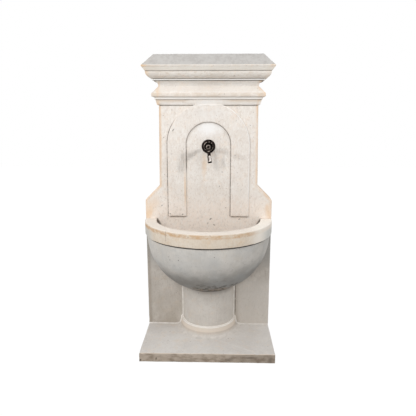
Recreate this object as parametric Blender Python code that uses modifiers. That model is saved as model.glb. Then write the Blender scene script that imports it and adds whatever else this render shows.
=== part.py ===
"""Limestone wall fountain: a back of two slabs under a moulded cornice, a half-round basin on a pedestal,
and a bronze spout, with the supply and waste pipes that feed and empty it.

X runs along the wall, +Y points to the wall behind, +Z is up. The origin is under the middle of the fountain.
"""

import math

import bmesh
import bpy
from mathutils import Matrix, Vector

# Joints and fits, in metres
GAP = 0.0003  # clearance between pieces that touch
BED = 0.002  # width of a mortar joint
RAKE = 0.003  # depth to which mortar is raked back from the faces

# Base and back slabs
SLAB_WIDTH = 0.700
SLAB_THICKNESS = 0.110
SLAB_ARRIS = 0.005
BASE_HEIGHT = 0.050
BASE_REACH = 0.325  # in front of the slabs' face
BASE_ARRIS = 0.003
NECK_FOOT_WIDTH = 0.538
NECK_HEAD_WIDTH = 0.527
NECK_HEAD = 1.298  # height of the upper slab's top
SHOULDER_FOOT = 0.791  # height where the 45 degree shoulders start
SHOULDER_ROUND = 0.015

# Arch band carved on the upper slab
ARCH_CENTRE = 1.093
ARCH_OUTER_RADIUS = 0.2215
ARCH_BAND_WIDTH = 0.100
ARCH_FOOT = 0.700
ARCH_RELIEF = 0.010
ARCH_ARRIS = 0.0015

# Frieze stone: rise of each moulding and how far it stands out from the neck
QUIRK_RISE = 0.007
LEDGE_SLOPE = 0.0005  # level ledges fall this much to the front
BED_MOULD_RISE = 0.025
BED_MOULD_REACH = 0.015
FILLET_RISE = 0.010
FILLET_REACH = 0.020
CORONA_DRIP = 0.002
CORONA_RISE = 0.016
CORONA_REACH = 0.034
SPLAY_RISE = 0.038
CAVETTO_RISE = 0.025
CAVETTO_REACH = 0.022

# Cornice cap: the same
CAP_FILLET_RISE = 0.010
CAP_FILLET_REACH = 0.024
OVOLO_RISE = 0.033
OVOLO_FOOT_REACH = 0.029
OVOLO_REACH = 0.060
FASCIA_RISE = 0.028
FASCIA_REACH = 0.077
WASH_RISE = 0.0595  # sloped top of the cap
WASH_INSET = 0.057

# Basin
RIM_TOP = 0.687
RIM_HEIGHT = 0.070
RIM_WALL = 0.065
RIM_ARRIS = 0.005
RIM_OVERHANG = 0.010  # beyond the bowl
BOWL_DROP = 0.332  # vertical half-axis of the outside
BOWL_WELL = 0.232  # depth of the inside under the rim's bed

# Pedestal
PEDESTAL_RADIUS = 0.145
PEDESTAL_BORE = 0.050
FOOT_HEIGHT = 0.056
FOOT_LEDGE = 0.009
FOOT_FLARE = 0.024
POINTING = 0.008  # mortar line where the pedestal meets the slab

# Pins that hold the stones in line
DOWEL_RADIUS = 0.006
DOWEL_LENGTH = 0.080
SLAB_DOWEL_SPACING = 0.440
CORNICE_DOWEL_SPACING = 0.300
ANCHOR_DROP = 0.035  # the bowl's pins, below the top of the bowl

# Chase for the supply pipe, cut in the back of the slabs
CHASE_WIDTH = 0.050
CHASE_DEPTH = 0.052
CHASE_HEADROOM = 0.030

# Spout, measured along its axis from the slab's face
SPOUT_HEIGHT = 1.085
SPOUT_LEAN = math.radians(6.0)  # the spout hangs this far off plumb, towards +X
ROSETTE_RADIUS = 0.037
ROSETTE_DEPTH = 0.014
ROSETTE_RINGS = (  # shares of the rosette's radius and depth, from its middle out
    (0.40, 1.00),
    (0.45, 0.78),
    (0.50, 0.50),
    (0.56, 0.42),
    (0.62, 0.50),
    (0.66, 0.66),
    (0.72, 0.70),
    (0.77, 0.60),
    (0.81, 0.40),
    (0.87, 0.32),
    (0.94, 0.36),
    (0.98, 0.28),
    (1.00, 0.15),
)
NIPPLE_RADIUS = 0.0105
NIPPLE_BORE = 0.0050
SPIGOT_RADIUS = 0.0080
KNUCKLE_RADIUS = 0.0122
KNUCKLE_LENGTH = 0.046
KNUCKLE_ROUND = 0.0035
KNUCKLE_COLLAR = 0.0014
KNUCKLE_FRONT_WALL = 0.0055
KNUCKLE_GALLERY = 0.0096  # radius of the water groove inside the knuckle
GALLERY_LENGTH = 0.014
WATER_HOLE_RADIUS = 0.0035
SOCKET_RADIUS = 0.0118
SOCKET_REACH = 0.020
PIPE_ROOT = 0.0102  # the pipe starts this far below the spout's axis
SPOUT_PIPE_RADIUS = 0.0090
SPOUT_PIPE_WALL = 0.0018
SPOUT_DROP = 0.083  # from the spout's axis to its mouth
SPOUT_KICK = math.radians(14.0)  # forward bend of the pipe
SPOUT_BEND_RADIUS = 0.045
SPOUT_BEND_DROP = 0.026
NOZZLE_LENGTH = 0.036
NOZZLE_WALL = 0.0010
NOZZLE_LIP = 0.0012
SCREW_HEAD_RADIUS = 0.0055
SCREW_HEAD_HEIGHT = 0.0028
SCREW_SHANK_RADIUS = 0.0030
SCREW_SHANK_LENGTH = 0.010
SCREW_SOCKET_RADIUS = 0.0028
O_RING_WIRE = 0.0008
O_RING_INSET = 0.005  # from each end of the spigot's seat

# Supply pipe in the chase
WASHER_THICKNESS = 0.002
NIPPLE_NUT_RADIUS = 0.0175
NIPPLE_NUT_THICKNESS = 0.008
NIPPLE_ENGAGEMENT = 0.010
ELBOW_RADIUS = 0.0135
ELBOW_DROP = 0.030
ELBOW_LEG_RADIUS = 0.0115
ELBOW_PASSAGE = 0.0055
RISER_RADIUS = 0.0075
RISER_WALL = 0.0010
RISER_SOCKET = 0.012
UNION_HEIGHT = 0.120
UNION_LENGTH = 0.034
UNION_RADIUS = 0.0150
PIPE_END = 0.004  # the pipes stop this far above the ground
CLIP_HEIGHTS = (0.330, 0.860)
CLIP_WIDTH = 0.024
CLIP_RISE = 0.016
CLIP_LIP_ANGLE = math.radians(60.0)
CLIP_SCREW_RADIUS = 0.0020
CLIP_SCREW_HEAD = 0.0042
CLIP_SCREW_HEAD_HEIGHT = 0.0030
CLIP_SCREW_HOLD = 0.020  # length in the stone

# Waste
DRAIN_OFFSET = 0.085  # in front of the slabs' face
WASTE_SEAT_DEPTH = 0.003  # flat seat for the flange, below the bottom of the well
WASTE_FLANGE_RADIUS = 0.034
WASTE_FLANGE_THICKNESS = 0.004
WASTE_TAIL_RADIUS = 0.0210
WASTE_BORE = 0.0175
WASTE_TAIL_END = 0.035  # below the bowl's seat
GASKET_THICKNESS = 0.002
WASTE_NUT_RADIUS = 0.032
WASTE_NUT_THICKNESS = 0.010
DRAIN_PIPE_RADIUS = 0.0210
COUPLING_RADIUS = 0.0270
COUPLING_LENGTH = 0.040

# Overflow standpipe, which stands in the waste and sets the water level
WATER_FREEBOARD = 0.057  # overflow lip below the rim
STANDPIPE_RADIUS = 0.0160
STANDPIPE_WALL = 0.0020
STANDPIPE_SPIGOT = 0.020
STANDPIPE_COLLAR = 0.0245
STANDPIPE_COLLAR_RISE = 0.005
STANDPIPE_BEAD = 0.0020
STANDPIPE_SEAL_WIRE = 0.0020

# Fineness of the round shapes
BASIN_SIDES = 80
PEDESTAL_SIDES = 56
ROSETTE_SIDES = 32
FITTING_SIDES = 20
RING_SIDES = 16
PIN_SIDES = 12
ARC_STEPS = 5
BOWL_STEPS = 9
ARCH_STEPS = 28

# Places worked out from the sizes
RIM_RADIUS = SLAB_WIDTH / 2
BOWL_RADIUS = RIM_RADIUS - RIM_OVERHANG
TOTAL_DEPTH = RIM_RADIUS + SLAB_THICKNESS
BACK_Y = TOTAL_DEPTH / 2
FACE_Y = BACK_Y - SLAB_THICKNESS
SLAB_FOOT = BASE_HEIGHT + BED
RIM_FOOT = RIM_TOP - RIM_HEIGHT
BOWL_HEAD = RIM_FOOT - BED
BASIN_BACK_Y = FACE_Y - BED
MOUTH_RADIUS = RIM_RADIUS - RIM_WALL
BOWL_SEAT = BOWL_HEAD - BOWL_DROP * math.sqrt(1 - (PEDESTAL_RADIUS / BOWL_RADIUS) ** 2)
PEDESTAL_TOP = BOWL_SEAT - BED
FRIEZE_FOOT = NECK_HEAD + BED
CORONA_FOOT = FRIEZE_FOOT + QUIRK_RISE + BED_MOULD_RISE + FILLET_RISE
FRIEZE_HEAD = CORONA_FOOT + CORONA_DRIP + CORONA_RISE + SPLAY_RISE + CAVETTO_RISE
CAP_FOOT = FRIEZE_HEAD + BED
DRAIN_Y = FACE_Y - DRAIN_OFFSET
WASTE_SEAT = BOWL_HEAD - BOWL_WELL - WASTE_SEAT_DEPTH
FLANGE_FOOT = WASTE_SEAT + GASKET_THICKNESS + 2 * GAP
FLANGE_TOP = FLANGE_FOOT + WASTE_FLANGE_THICKNESS
TAIL_FOOT = BOWL_SEAT - WASTE_TAIL_END
CHASE_FLOOR = SLAB_THICKNESS - CHASE_DEPTH  # behind the slabs' face
NIPPLE_NUT_BACK = CHASE_FLOOR + WASHER_THICKNESS + NIPPLE_NUT_THICKNESS + 3 * GAP
NIPPLE_END = NIPPLE_NUT_BACK + GAP + NIPPLE_ENGAGEMENT
RISER_DEPTH = NIPPLE_END + ELBOW_LEG_RADIUS + GAP
RISER_HEAD = SPOUT_HEIGHT - ELBOW_DROP + RISER_SOCKET
KNUCKLE_BACK = ROSETTE_DEPTH + GAP
KNUCKLE_FRONT = KNUCKLE_BACK + KNUCKLE_LENGTH
SPIGOT_END = KNUCKLE_FRONT - KNUCKLE_FRONT_WALL - GAP
O_RING_HEIGHTS = (SPIGOT_END - O_RING_INSET, KNUCKLE_BACK + 2 * O_RING_INSET)
GALLERY_CENTRE = SPIGOT_END - 2 * O_RING_INSET + 2 * O_RING_WIRE - GALLERY_LENGTH / 2
STANDPIPE_TOP = RIM_TOP - WATER_FREEBOARD

FACING = Matrix.Rotation(math.radians(90.0), 4, "X")  # turns a shape's own Z to the front, and its Y upright


def new_collection(name):
    collection = bpy.data.collections.new(name)
    bpy.context.scene.collection.children.link(collection)
    return collection


def new_material(name, colour, roughness, metallic=0.0):
    material = bpy.data.materials.new(name)
    material.use_nodes = True
    shader = material.node_tree.nodes["Principled BSDF"]
    shader.inputs["Base Color"].default_value = (*colour, 1.0)
    shader.inputs["Roughness"].default_value = roughness
    shader.inputs["Metallic"].default_value = metallic
    return material


for leftover in list(bpy.data.objects):
    bpy.data.objects.remove(leftover, do_unlink=True)

FOUNTAIN = new_collection("wall_fountain")
CUTTERS = new_collection("cutters")

WARM_STONE = new_material("warm_limestone", (0.80, 0.73, 0.65), 0.85)
GREY_STONE = new_material("grey_limestone", (0.62, 0.60, 0.57), 0.85)
MORTAR = new_material("lime_mortar", (0.70, 0.68, 0.63), 0.95)
STEEL = new_material("stainless_pin", (0.60, 0.60, 0.60), 0.35, 1.0)
BRONZE = new_material("dark_bronze", (0.045, 0.038, 0.034), 0.40, 1.0)
WORN_BRONZE = new_material("worn_bronze", (0.42, 0.38, 0.36), 0.35, 1.0)
BRASS = new_material("brass_fitting", (0.72, 0.55, 0.25), 0.30, 1.0)
COPPER = new_material("copper_pipe", (0.72, 0.40, 0.27), 0.35, 1.0)
RUBBER = new_material("rubber_seal", (0.03, 0.03, 0.03), 0.80)
PLASTIC = new_material("grey_plastic", (0.35, 0.36, 0.37), 0.50)


def add_object(name, mesh, collection, place):
    thing = bpy.data.objects.new(name, mesh)
    thing.matrix_world = place
    collection.objects.link(thing)
    return thing


def piece(name, mesh, material, place=Matrix()):
    """A sub-part of the fountain."""
    thing = add_object(name, mesh, FOUNTAIN, place)
    thing.data.materials.append(material)
    return thing


def tool(name, mesh, place=Matrix()):
    """A shape that cuts or joins sub-parts and isn't one itself."""
    thing = add_object(name, mesh, CUTTERS, place)
    thing.hide_render = True
    thing.display_type = "WIRE"
    return thing


def work(target, helper, operation="DIFFERENCE"):
    modifier = target.modifiers.new(f"{operation.lower()}_{helper.name}", "BOOLEAN")
    modifier.operation = operation
    modifier.object = helper
    modifier.solver = "EXACT"


def mesh_of(name, shape):
    bmesh.ops.recalc_face_normals(shape, faces=shape.faces)
    mesh = bpy.data.meshes.new(name)
    shape.to_mesh(mesh)
    shape.free()
    return mesh


def block(name, low, high):
    shape = bmesh.new()
    bmesh.ops.create_cube(shape, size=1.0)
    size = Vector(high) - Vector(low)
    middle = (Vector(high) + Vector(low)) / 2
    bmesh.ops.scale(shape, vec=size, verts=shape.verts)
    bmesh.ops.translate(shape, vec=middle, verts=shape.verts)
    return mesh_of(name, shape)


def rod(name, radius, start, end, sides=PIN_SIDES):
    """A cylinder, or a hexagonal bar with 6 sides, between two points."""
    run = Vector(end) - Vector(start)
    turn = Vector((0.0, 0.0, 1.0)).rotation_difference(run).to_matrix().to_4x4()
    middle = Matrix.Translation((Vector(start) + Vector(end)) / 2)
    shape = bmesh.new()
    bmesh.ops.create_cone(
        shape,
        cap_ends=True,
        segments=sides,
        radius1=radius,
        radius2=radius,
        depth=run.length,
        matrix=middle @ turn,
    )
    return mesh_of(name, shape)


def turned_profile(name, profile, closed):
    mesh = bpy.data.meshes.new(name)
    points = [(radius, 0.0, height) for radius, height in profile]
    edges = [(i, i + 1) for i in range(len(points) - 1)]
    if closed:
        edges.append((len(points) - 1, 0))
    mesh.from_pydata(points, edges, [])
    return mesh


def turn(thing, sides):
    screw = thing.modifiers.new("turned", "SCREW")
    screw.axis = "Z"
    screw.angle = 2 * math.pi
    screw.steps = sides
    screw.render_steps = sides
    screw.use_merge_vertices = True
    screw.merge_threshold = 0.00001
    screw.use_normal_calculate = False


def turned(name, profile, material, place, sides=FITTING_SIDES, closed=True):
    """A turned piece: its profile is (radius, height) points that run down its outer side."""
    thing = piece(name, turned_profile(name, profile, closed), material, place)
    turn(thing, sides)
    return thing


def turned_tool(name, profile, place, sides=FITTING_SIDES, closed=True):
    thing = tool(name, turned_profile(name, profile, closed), place)
    turn(thing, sides)
    return thing


def pipe_profile(outer, inner, low, high):
    return [(inner, high), (outer, high), (outer, low), (inner, low)]


def ring_profile(centre_radius, wire, height, steps=8):
    """A round section, such as a rubber ring's, centred on a height."""
    turns = [-2 * math.pi * i / steps for i in range(steps)]
    return [(centre_radius + wire * math.cos(a), height + wire * math.sin(a)) for a in turns]


def arc(centre, radius, start, end, steps):
    """Points along an arc in degrees, both ends included."""
    angles = [math.radians(start + (end - start) * i / steps) for i in range(steps + 1)]
    return [(centre[0] + radius * math.cos(a), centre[1] + radius * math.sin(a)) for a in angles]


def circle(centre, radius, sides=PIN_SIDES):
    return arc(centre, radius, 0.0, 360.0, sides)[:-1]


def rounded(corner, before, after, radius, steps=4):
    """The points that round one corner of an outline."""
    corner, before, after = Vector(corner), Vector(before), Vector(after)
    back, ahead = (before - corner).normalized(), (after - corner).normalized()
    half = back.angle(ahead) / 2
    reach = radius / math.tan(half)
    centre = corner + (back + ahead).normalized() * radius / math.sin(half)
    first, last = corner + back * reach - centre, corner + ahead * reach - centre
    return [tuple(centre + radius * first.lerp(last, i / steps).normalized()) for i in range(steps + 1)]


def outline(name, loops, thickness):
    """A flat outline, with holes as further loops, made as thick as told about its own plane."""
    curve = bpy.data.curves.new(name, "CURVE")
    curve.dimensions = "2D"
    curve.fill_mode = "BOTH"
    curve.extrude = thickness / 2
    for loop in loops:
        spline = curve.splines.new("POLY")
        spline.points.add(len(loop) - 1)
        for point, (x, y) in zip(spline.points, loop):
            point.co = (x, y, 0.0, 1.0)
        spline.use_cyclic_u = True
    return curve_mesh(name, curve, plain=len(loops) == 1)


def tube(name, points, radius, resolution):
    """A round bar along a run of points."""
    curve = bpy.data.curves.new(name, "CURVE")
    curve.dimensions = "3D"
    curve.bevel_depth = radius
    curve.bevel_resolution = resolution
    curve.use_fill_caps = True
    spline = curve.splines.new("POLY")
    spline.points.add(len(points) - 1)
    for point, place in zip(spline.points, points):
        point.co = (*place, 1.0)
    return curve_mesh(name, curve)


def curve_mesh(name, curve, plain=False):
    """The curve's solid as a welded mesh. Flat ends with no hole in them become one face each."""
    holder = bpy.data.objects.new(name, curve)
    bpy.context.scene.collection.objects.link(holder)
    seen = holder.evaluated_get(bpy.context.evaluated_depsgraph_get())
    mesh = bpy.data.meshes.new_from_object(seen)
    bpy.data.objects.remove(holder, do_unlink=True)
    bpy.data.curves.remove(curve)
    shape = bmesh.new()
    shape.from_mesh(mesh)
    bpy.data.meshes.remove(mesh)
    bmesh.ops.remove_doubles(shape, verts=shape.verts, dist=0.000001)
    if plain:
        bmesh.ops.dissolve_limit(shape, angle_limit=math.radians(0.1), verts=shape.verts, edges=shape.edges)
    return mesh_of(name, shape)


def soften(thing, width, on_arris, segments=2):
    """Rounds the edges whose two ends both pass a test."""
    mesh = thing.data
    weights = mesh.attributes.new("bevel_weight_edge", "FLOAT", "EDGE")
    for edge in mesh.edges:
        ends = [mesh.vertices[i].co for i in edge.vertices]
        weights.data[edge.index].value = 1.0 if on_arris(*ends) else 0.0
    bevel = thing.modifiers.new("arris", "BEVEL")
    bevel.limit_method = "WEIGHT"
    bevel.width = width
    bevel.segments = segments


def course(name, levels):
    """A moulded course: rectangles in plan, each (reach beyond the neck, height), one above the other."""

    def corners(reach, height):
        half = NECK_HEAD_WIDTH / 2 + reach
        front = FACE_Y - reach
        return [(x, y, height) for x, y in ((-half, front), (half, front), (half, BACK_Y), (-half, BACK_Y))]

    shape = bmesh.new()
    rings = [[shape.verts.new(place) for place in corners(*level)] for level in levels]
    for low, high in zip(rings, rings[1:]):
        for i in range(4):
            ahead = (i + 1) % 4
            shape.faces.new((low[i], low[ahead], high[ahead], high[i]))
    shape.faces.new(rings[0])
    shape.faces.new(rings[-1])
    return mesh_of(name, shape)


def half_cut(thing, y):
    """Takes away all that lies behind a plane parallel to the slabs' face."""
    reach = 2 * SLAB_WIDTH
    behind = block("behind", (-reach, y, -reach), (reach, y + reach, 2 * reach))
    work(thing, tool(f"behind_{thing.name}", behind))


def drill(target, radius, start, end, sides=PIN_SIDES, place=Matrix()):
    name = f"hole_{len(CUTTERS.objects)}_{target.name}"
    work(target, tool(name, rod("hole", radius, start, end, sides), place))


# Pins between stones: each lies half in one stone and half in the other, and passes the mortar between them


def pin(name, middle, along, stones):
    """A pin centred on a joint, with its two holes."""
    half = along * DOWEL_LENGTH / 2
    ease = along * GAP
    piece(name, rod(name, DOWEL_RADIUS, middle - half, middle + half), STEEL)
    for stone in stones:
        drill(stone, DOWEL_RADIUS + GAP, middle - half - ease, middle + half + ease)


def pin_pair(name, spacing, height, stones):
    for side, place in (("left", -spacing / 2), ("right", spacing / 2)):
        middle = Vector((place, FACE_Y + SLAB_THICKNESS / 2, height))
        pin(f"{name}_{side}", middle, Vector((0.0, 0.0, 1.0)), stones)


def pin_holes(spacing):
    y = FACE_Y + SLAB_THICKNESS / 2
    return [circle((side * spacing / 2, y), DOWEL_RADIUS + GAP) for side in (-1, 1)]


def mortar_bed(name, loops, foot):
    """A flat mortar joint that fills the space above a stone's top."""
    place = Matrix.Translation((0.0, 0.0, foot + BED / 2))
    return piece(name, outline(name, loops, BED - 2 * GAP), MORTAR, place)


def chased_plan(edge, corner=None):
    """The slabs' plan drawn in by an edge, with the notch of the pipe chase in its back and, if asked, round
    front corners."""
    half, notch = SLAB_WIDTH / 2 - edge, CHASE_WIDTH / 2 + edge
    front, back, floor = FACE_Y + edge, BACK_Y - edge, FACE_Y + CHASE_FLOOR - edge
    loop = [(-half, front), (half, front)]
    if corner:
        loop = arc((-half + corner, front + corner), corner, 180, 270, 3)
        loop += arc((half - corner, front + corner), corner, 270, 360, 3)
    loop += [(half, back), (notch, back), (notch, floor)]
    return loop + [(-notch, floor), (-notch, back), (-half, back)]


def course_plan(reach):
    """The plan of a course that stands out from the neck by a reach."""
    half = NECK_HEAD_WIDTH / 2 + reach
    front, back = FACE_Y - reach, BACK_Y + min(reach, 0.0)
    return [(-half, front), (half, front), (half, back), (-half, back)]


def make_base_slab():
    low = (-SLAB_WIDTH / 2, FACE_Y - BASE_REACH, 0.0)
    high = (SLAB_WIDTH / 2, BACK_Y, BASE_HEIGHT)
    base = piece("base_slab", block("base_slab", low, high), GREY_STONE)
    soften(base, BASE_ARRIS, lambda a, b: True)
    below, above = -BASE_HEIGHT, 2 * BASE_HEIGHT
    drill(base, DRAIN_PIPE_RADIUS + 5 * GAP, (0, DRAIN_Y, below), (0, DRAIN_Y, above), FITTING_SIDES)
    riser_y = FACE_Y + RISER_DEPTH
    drill(base, RISER_RADIUS + 3 * GAP, (0, riser_y, below), (0, riser_y, above), RING_SIDES)
    return base


def make_lower_slab():
    rise = BOWL_HEAD - SLAB_FOOT
    place = Matrix.Translation((0.0, 0.0, SLAB_FOOT + rise / 2))
    plan = chased_plan(0.0, SLAB_ARRIS)
    return piece("lower_back_slab", outline("lower_back_slab", [plan], rise), GREY_STONE, place)


def arch_outline():
    inner = ARCH_OUTER_RADIUS - ARCH_BAND_WIDTH
    centre = (0.0, ARCH_CENTRE)
    loop = [(ARCH_OUTER_RADIUS, ARCH_FOOT)] + arc(centre, ARCH_OUTER_RADIUS, 0, 180, ARCH_STEPS)
    loop += [(-ARCH_OUTER_RADIUS, ARCH_FOOT), (-inner, ARCH_FOOT)]
    loop += arc(centre, inner, 180, 0, ARCH_STEPS) + [(inner, ARCH_FOOT)]
    return loop


def arch_band(name, low, high):
    """The raised band, as a shape to join to a stone, between two heights."""
    sunk = ARCH_RELIEF  # part of the shape inside the stone
    thickness = ARCH_RELIEF + sunk
    place = Matrix.Translation((0.0, FACE_Y + sunk - thickness / 2, 0.0)) @ FACING
    band = tool(name, outline(name, [arch_outline()], thickness), place)
    soften(band, ARCH_ARRIS, lambda a, b: a.z > 0 and b.z > 0, 1)
    reach = SLAB_WIDTH
    keep = tool(f"{name}_extent", block(name, (-reach, -reach, low), (reach, reach, high)))
    work(band, keep, "INTERSECT")
    return band


def make_upper_slab():
    width, foot, head = SLAB_WIDTH / 2, NECK_FOOT_WIDTH / 2, NECK_HEAD_WIDTH / 2
    shoulder_head = SHOULDER_FOOT + width - foot
    corner, neck = (width, SHOULDER_FOOT), (foot, shoulder_head)
    right = [(width, RIM_FOOT)]
    right += rounded(corner, right[0], neck, SHOULDER_ROUND)
    right += rounded(neck, corner, (head, NECK_HEAD), SHOULDER_ROUND)
    right.append((head, NECK_HEAD))
    loop = right + [(-x, z) for x, z in reversed(right)]
    place = Matrix.Translation((0.0, FACE_Y + SLAB_THICKNESS / 2, 0.0)) @ FACING
    slab = piece("upper_back_slab", outline("upper_back_slab", [loop], SLAB_THICKNESS), WARM_STONE, place)

    def front_edge(a, b):
        level = abs(a.y - b.y) < GAP and (abs(a.y - RIM_FOOT) < GAP or abs(a.y - NECK_HEAD) < GAP)
        return a.z > 0 and b.z > 0 and not level

    soften(slab, SLAB_ARRIS, front_edge)
    work(slab, arch_band("arch_on_slab", 0.0, NECK_HEAD - GAP), "UNION")
    chase_top = SPOUT_HEIGHT + CHASE_HEADROOM
    low = (-CHASE_WIDTH / 2, FACE_Y + CHASE_FLOOR, 0.0)
    high = (CHASE_WIDTH / 2, BACK_Y + CHASE_DEPTH, chase_top)
    work(slab, tool("chase", block("chase", low, high)))
    axis = Vector((0.0, FACE_Y, SPOUT_HEIGHT))
    through = Vector((0.0, SLAB_THICKNESS, 0.0))
    drill(slab, NIPPLE_RADIUS + GAP, axis - through, axis + through, FITTING_SIDES)
    return slab


def make_frieze():
    reach, height = 0.0, FRIEZE_FOOT
    levels = [(reach, height)]
    for step in range(1, 4):
        angle = math.radians(30.0 * step)
        levels.append((ARCH_RELIEF * math.sin(angle), height + QUIRK_RISE * (1 - math.cos(angle))))
    height += QUIRK_RISE + BED_MOULD_RISE
    levels += [(BED_MOULD_REACH, height - LEDGE_SLOPE), (FILLET_REACH, height)]
    height += FILLET_RISE
    levels.append((FILLET_REACH, height))
    height += CORONA_DRIP
    levels.append((CORONA_REACH, height))
    height += CORONA_RISE
    levels.append((CORONA_REACH, height))
    height += SPLAY_RISE
    levels.append((reach, height))
    for step in range(1, ARC_STEPS + 1):
        angle = math.radians(90.0 * step / ARC_STEPS)
        levels.append((CAVETTO_REACH * (1 - math.cos(angle)), height + CAVETTO_RISE * math.sin(angle)))
    frieze = piece("frieze_course", course("frieze_course", levels), WARM_STONE)
    work(frieze, arch_band("arch_on_frieze", FRIEZE_FOOT + GAP, FRIEZE_HEAD), "UNION")
    return frieze


def make_cap():
    height = CAP_FOOT
    levels = [(CAP_FILLET_REACH, height)]
    height += CAP_FILLET_RISE
    levels += [(CAP_FILLET_REACH, height - LEDGE_SLOPE), (OVOLO_FOOT_REACH, height)]
    for step in range(1, ARC_STEPS + 1):
        angle = math.radians(90.0 * step / ARC_STEPS)
        reach = OVOLO_FOOT_REACH + (OVOLO_REACH - OVOLO_FOOT_REACH) * math.sin(angle)
        levels.append((reach, height + OVOLO_RISE * (1 - math.cos(angle))))
    height += OVOLO_RISE
    for step in range(1, ARC_STEPS + 1):
        reach = OVOLO_REACH + (FASCIA_REACH - OVOLO_REACH) * math.sin(math.radians(90.0 * step / ARC_STEPS))
        levels.append((reach, height + FASCIA_RISE * step / ARC_STEPS))
    height += FASCIA_RISE
    levels.append((FASCIA_REACH - WASH_INSET, height + WASH_RISE))
    return piece("cornice_cap", course("cornice_cap", levels), WARM_STONE)


def ellipse_radius(radius, drop, depth):
    """The radius of the bowl's curve at a depth below the top of the bowl."""
    return radius * math.sqrt(1 - (depth / drop) ** 2)


def make_bowl():
    inside = [math.radians(90.0 * (1 - i / BOWL_STEPS)) for i in range(BOWL_STEPS + 1)]
    profile = [(MOUTH_RADIUS * math.cos(a), BOWL_HEAD - BOWL_WELL * math.sin(a)) for a in inside]
    profile[0] = (0.0, BOWL_HEAD - BOWL_WELL)
    last = math.acos(PEDESTAL_RADIUS / BOWL_RADIUS)
    outside = [last * i / BOWL_STEPS for i in range(BOWL_STEPS + 1)]
    profile += [(BOWL_RADIUS * math.cos(a), BOWL_HEAD - BOWL_DROP * math.sin(a)) for a in outside]
    profile.append((0.0, BOWL_SEAT))
    place = Matrix.Translation((0.0, FACE_Y, 0.0))
    bowl = turned("basin_bowl", profile, GREY_STONE, place, BASIN_SIDES, closed=False)
    half_cut(bowl, BASIN_BACK_Y)
    seat, through = (0, DRAIN_Y, WASTE_SEAT), (0, DRAIN_Y, BOWL_SEAT - BOWL_WELL)
    drill(bowl, WASTE_FLANGE_RADIUS + 5 * GAP, seat, (0, DRAIN_Y, BOWL_HEAD), FITTING_SIDES)
    drill(bowl, WASTE_TAIL_RADIUS + 2 * GAP, through, (0, DRAIN_Y, BOWL_HEAD), FITTING_SIDES)
    return bowl


def make_rim():
    inner, outer, arris = MOUTH_RADIUS, RIM_RADIUS, RIM_ARRIS
    profile = arc((inner + arris, RIM_TOP - arris), arris, 180, 90, 3)
    profile += arc((outer - arris, RIM_TOP - arris), arris, 90, 0, 3)
    profile += [(outer, RIM_FOOT), (inner, RIM_FOOT)]
    place = Matrix.Translation((0.0, FACE_Y, 0.0))
    rim = turned("basin_rim", profile, WARM_STONE, place, BASIN_SIDES)
    half_cut(rim, BASIN_BACK_Y)
    return rim


def pedestal_profile(swell=0.0, below=0.0):
    """The half-round pedestal's profile, grown outwards and carried on down past its foot."""
    shaft = PEDESTAL_RADIUS + swell
    flare = shaft + FOOT_FLARE
    ledge = BASE_HEIGHT + FOOT_HEIGHT + swell
    profile = [(0.0, PEDESTAL_TOP), (shaft, PEDESTAL_TOP), (shaft, ledge), (shaft + FOOT_LEDGE, ledge)]
    profile.append((flare, SLAB_FOOT))
    if below:
        profile.append((flare, SLAB_FOOT - below))
    return profile + [(0.0, SLAB_FOOT - below)]


def make_pedestal():
    place = Matrix.Translation((0.0, FACE_Y, 0.0))
    pedestal = turned("pedestal", pedestal_profile(), GREY_STONE, place, PEDESTAL_SIDES, closed=False)
    half_cut(pedestal, BASIN_BACK_Y)
    drill(pedestal, PEDESTAL_BORE, (0, DRAIN_Y, 0), (0, DRAIN_Y, BOWL_HEAD), FITTING_SIDES)
    return pedestal


def make_pointing():
    """The line of mortar down both sides of the pedestal, where it meets the slab."""
    place = Matrix.Translation((0.0, FACE_Y, 0.0))
    profile = pedestal_profile(POINTING, 2 * BED)
    pointing = turned("pedestal_pointing", profile, MORTAR, place, PEDESTAL_SIDES, closed=False)
    low = (-SLAB_WIDTH, FACE_Y - POINTING, BASE_HEIGHT + GAP)
    high = (SLAB_WIDTH, FACE_Y - GAP, PEDESTAL_TOP - GAP)
    work(pointing, tool("pointing_extent", block("pointing_extent", low, high)), "INTERSECT")
    eased = pedestal_profile(GAP, 2 * BED)
    eased[0], eased[1] = (0.0, BOWL_HEAD), (PEDESTAL_RADIUS + GAP, BOWL_HEAD)
    core = turned_tool("pedestal_space", eased, place, PEDESTAL_SIDES, closed=False)
    half_cut(core, BASIN_BACK_Y + GAP)
    work(pointing, core)


def half_disc(radius, inner=None):
    """A half disc in plan, or a half ring, kept clear of the joint behind the basin."""
    centre = (0.0, FACE_Y)
    back = BED + RAKE

    def sweep(size):
        tilt = math.degrees(math.asin(back / size))
        return arc(centre, size, 180 + tilt, 360 - tilt, PEDESTAL_SIDES // 2)

    loop = sweep(radius)
    if inner:
        loop += reversed(sweep(inner))
    return loop


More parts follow.
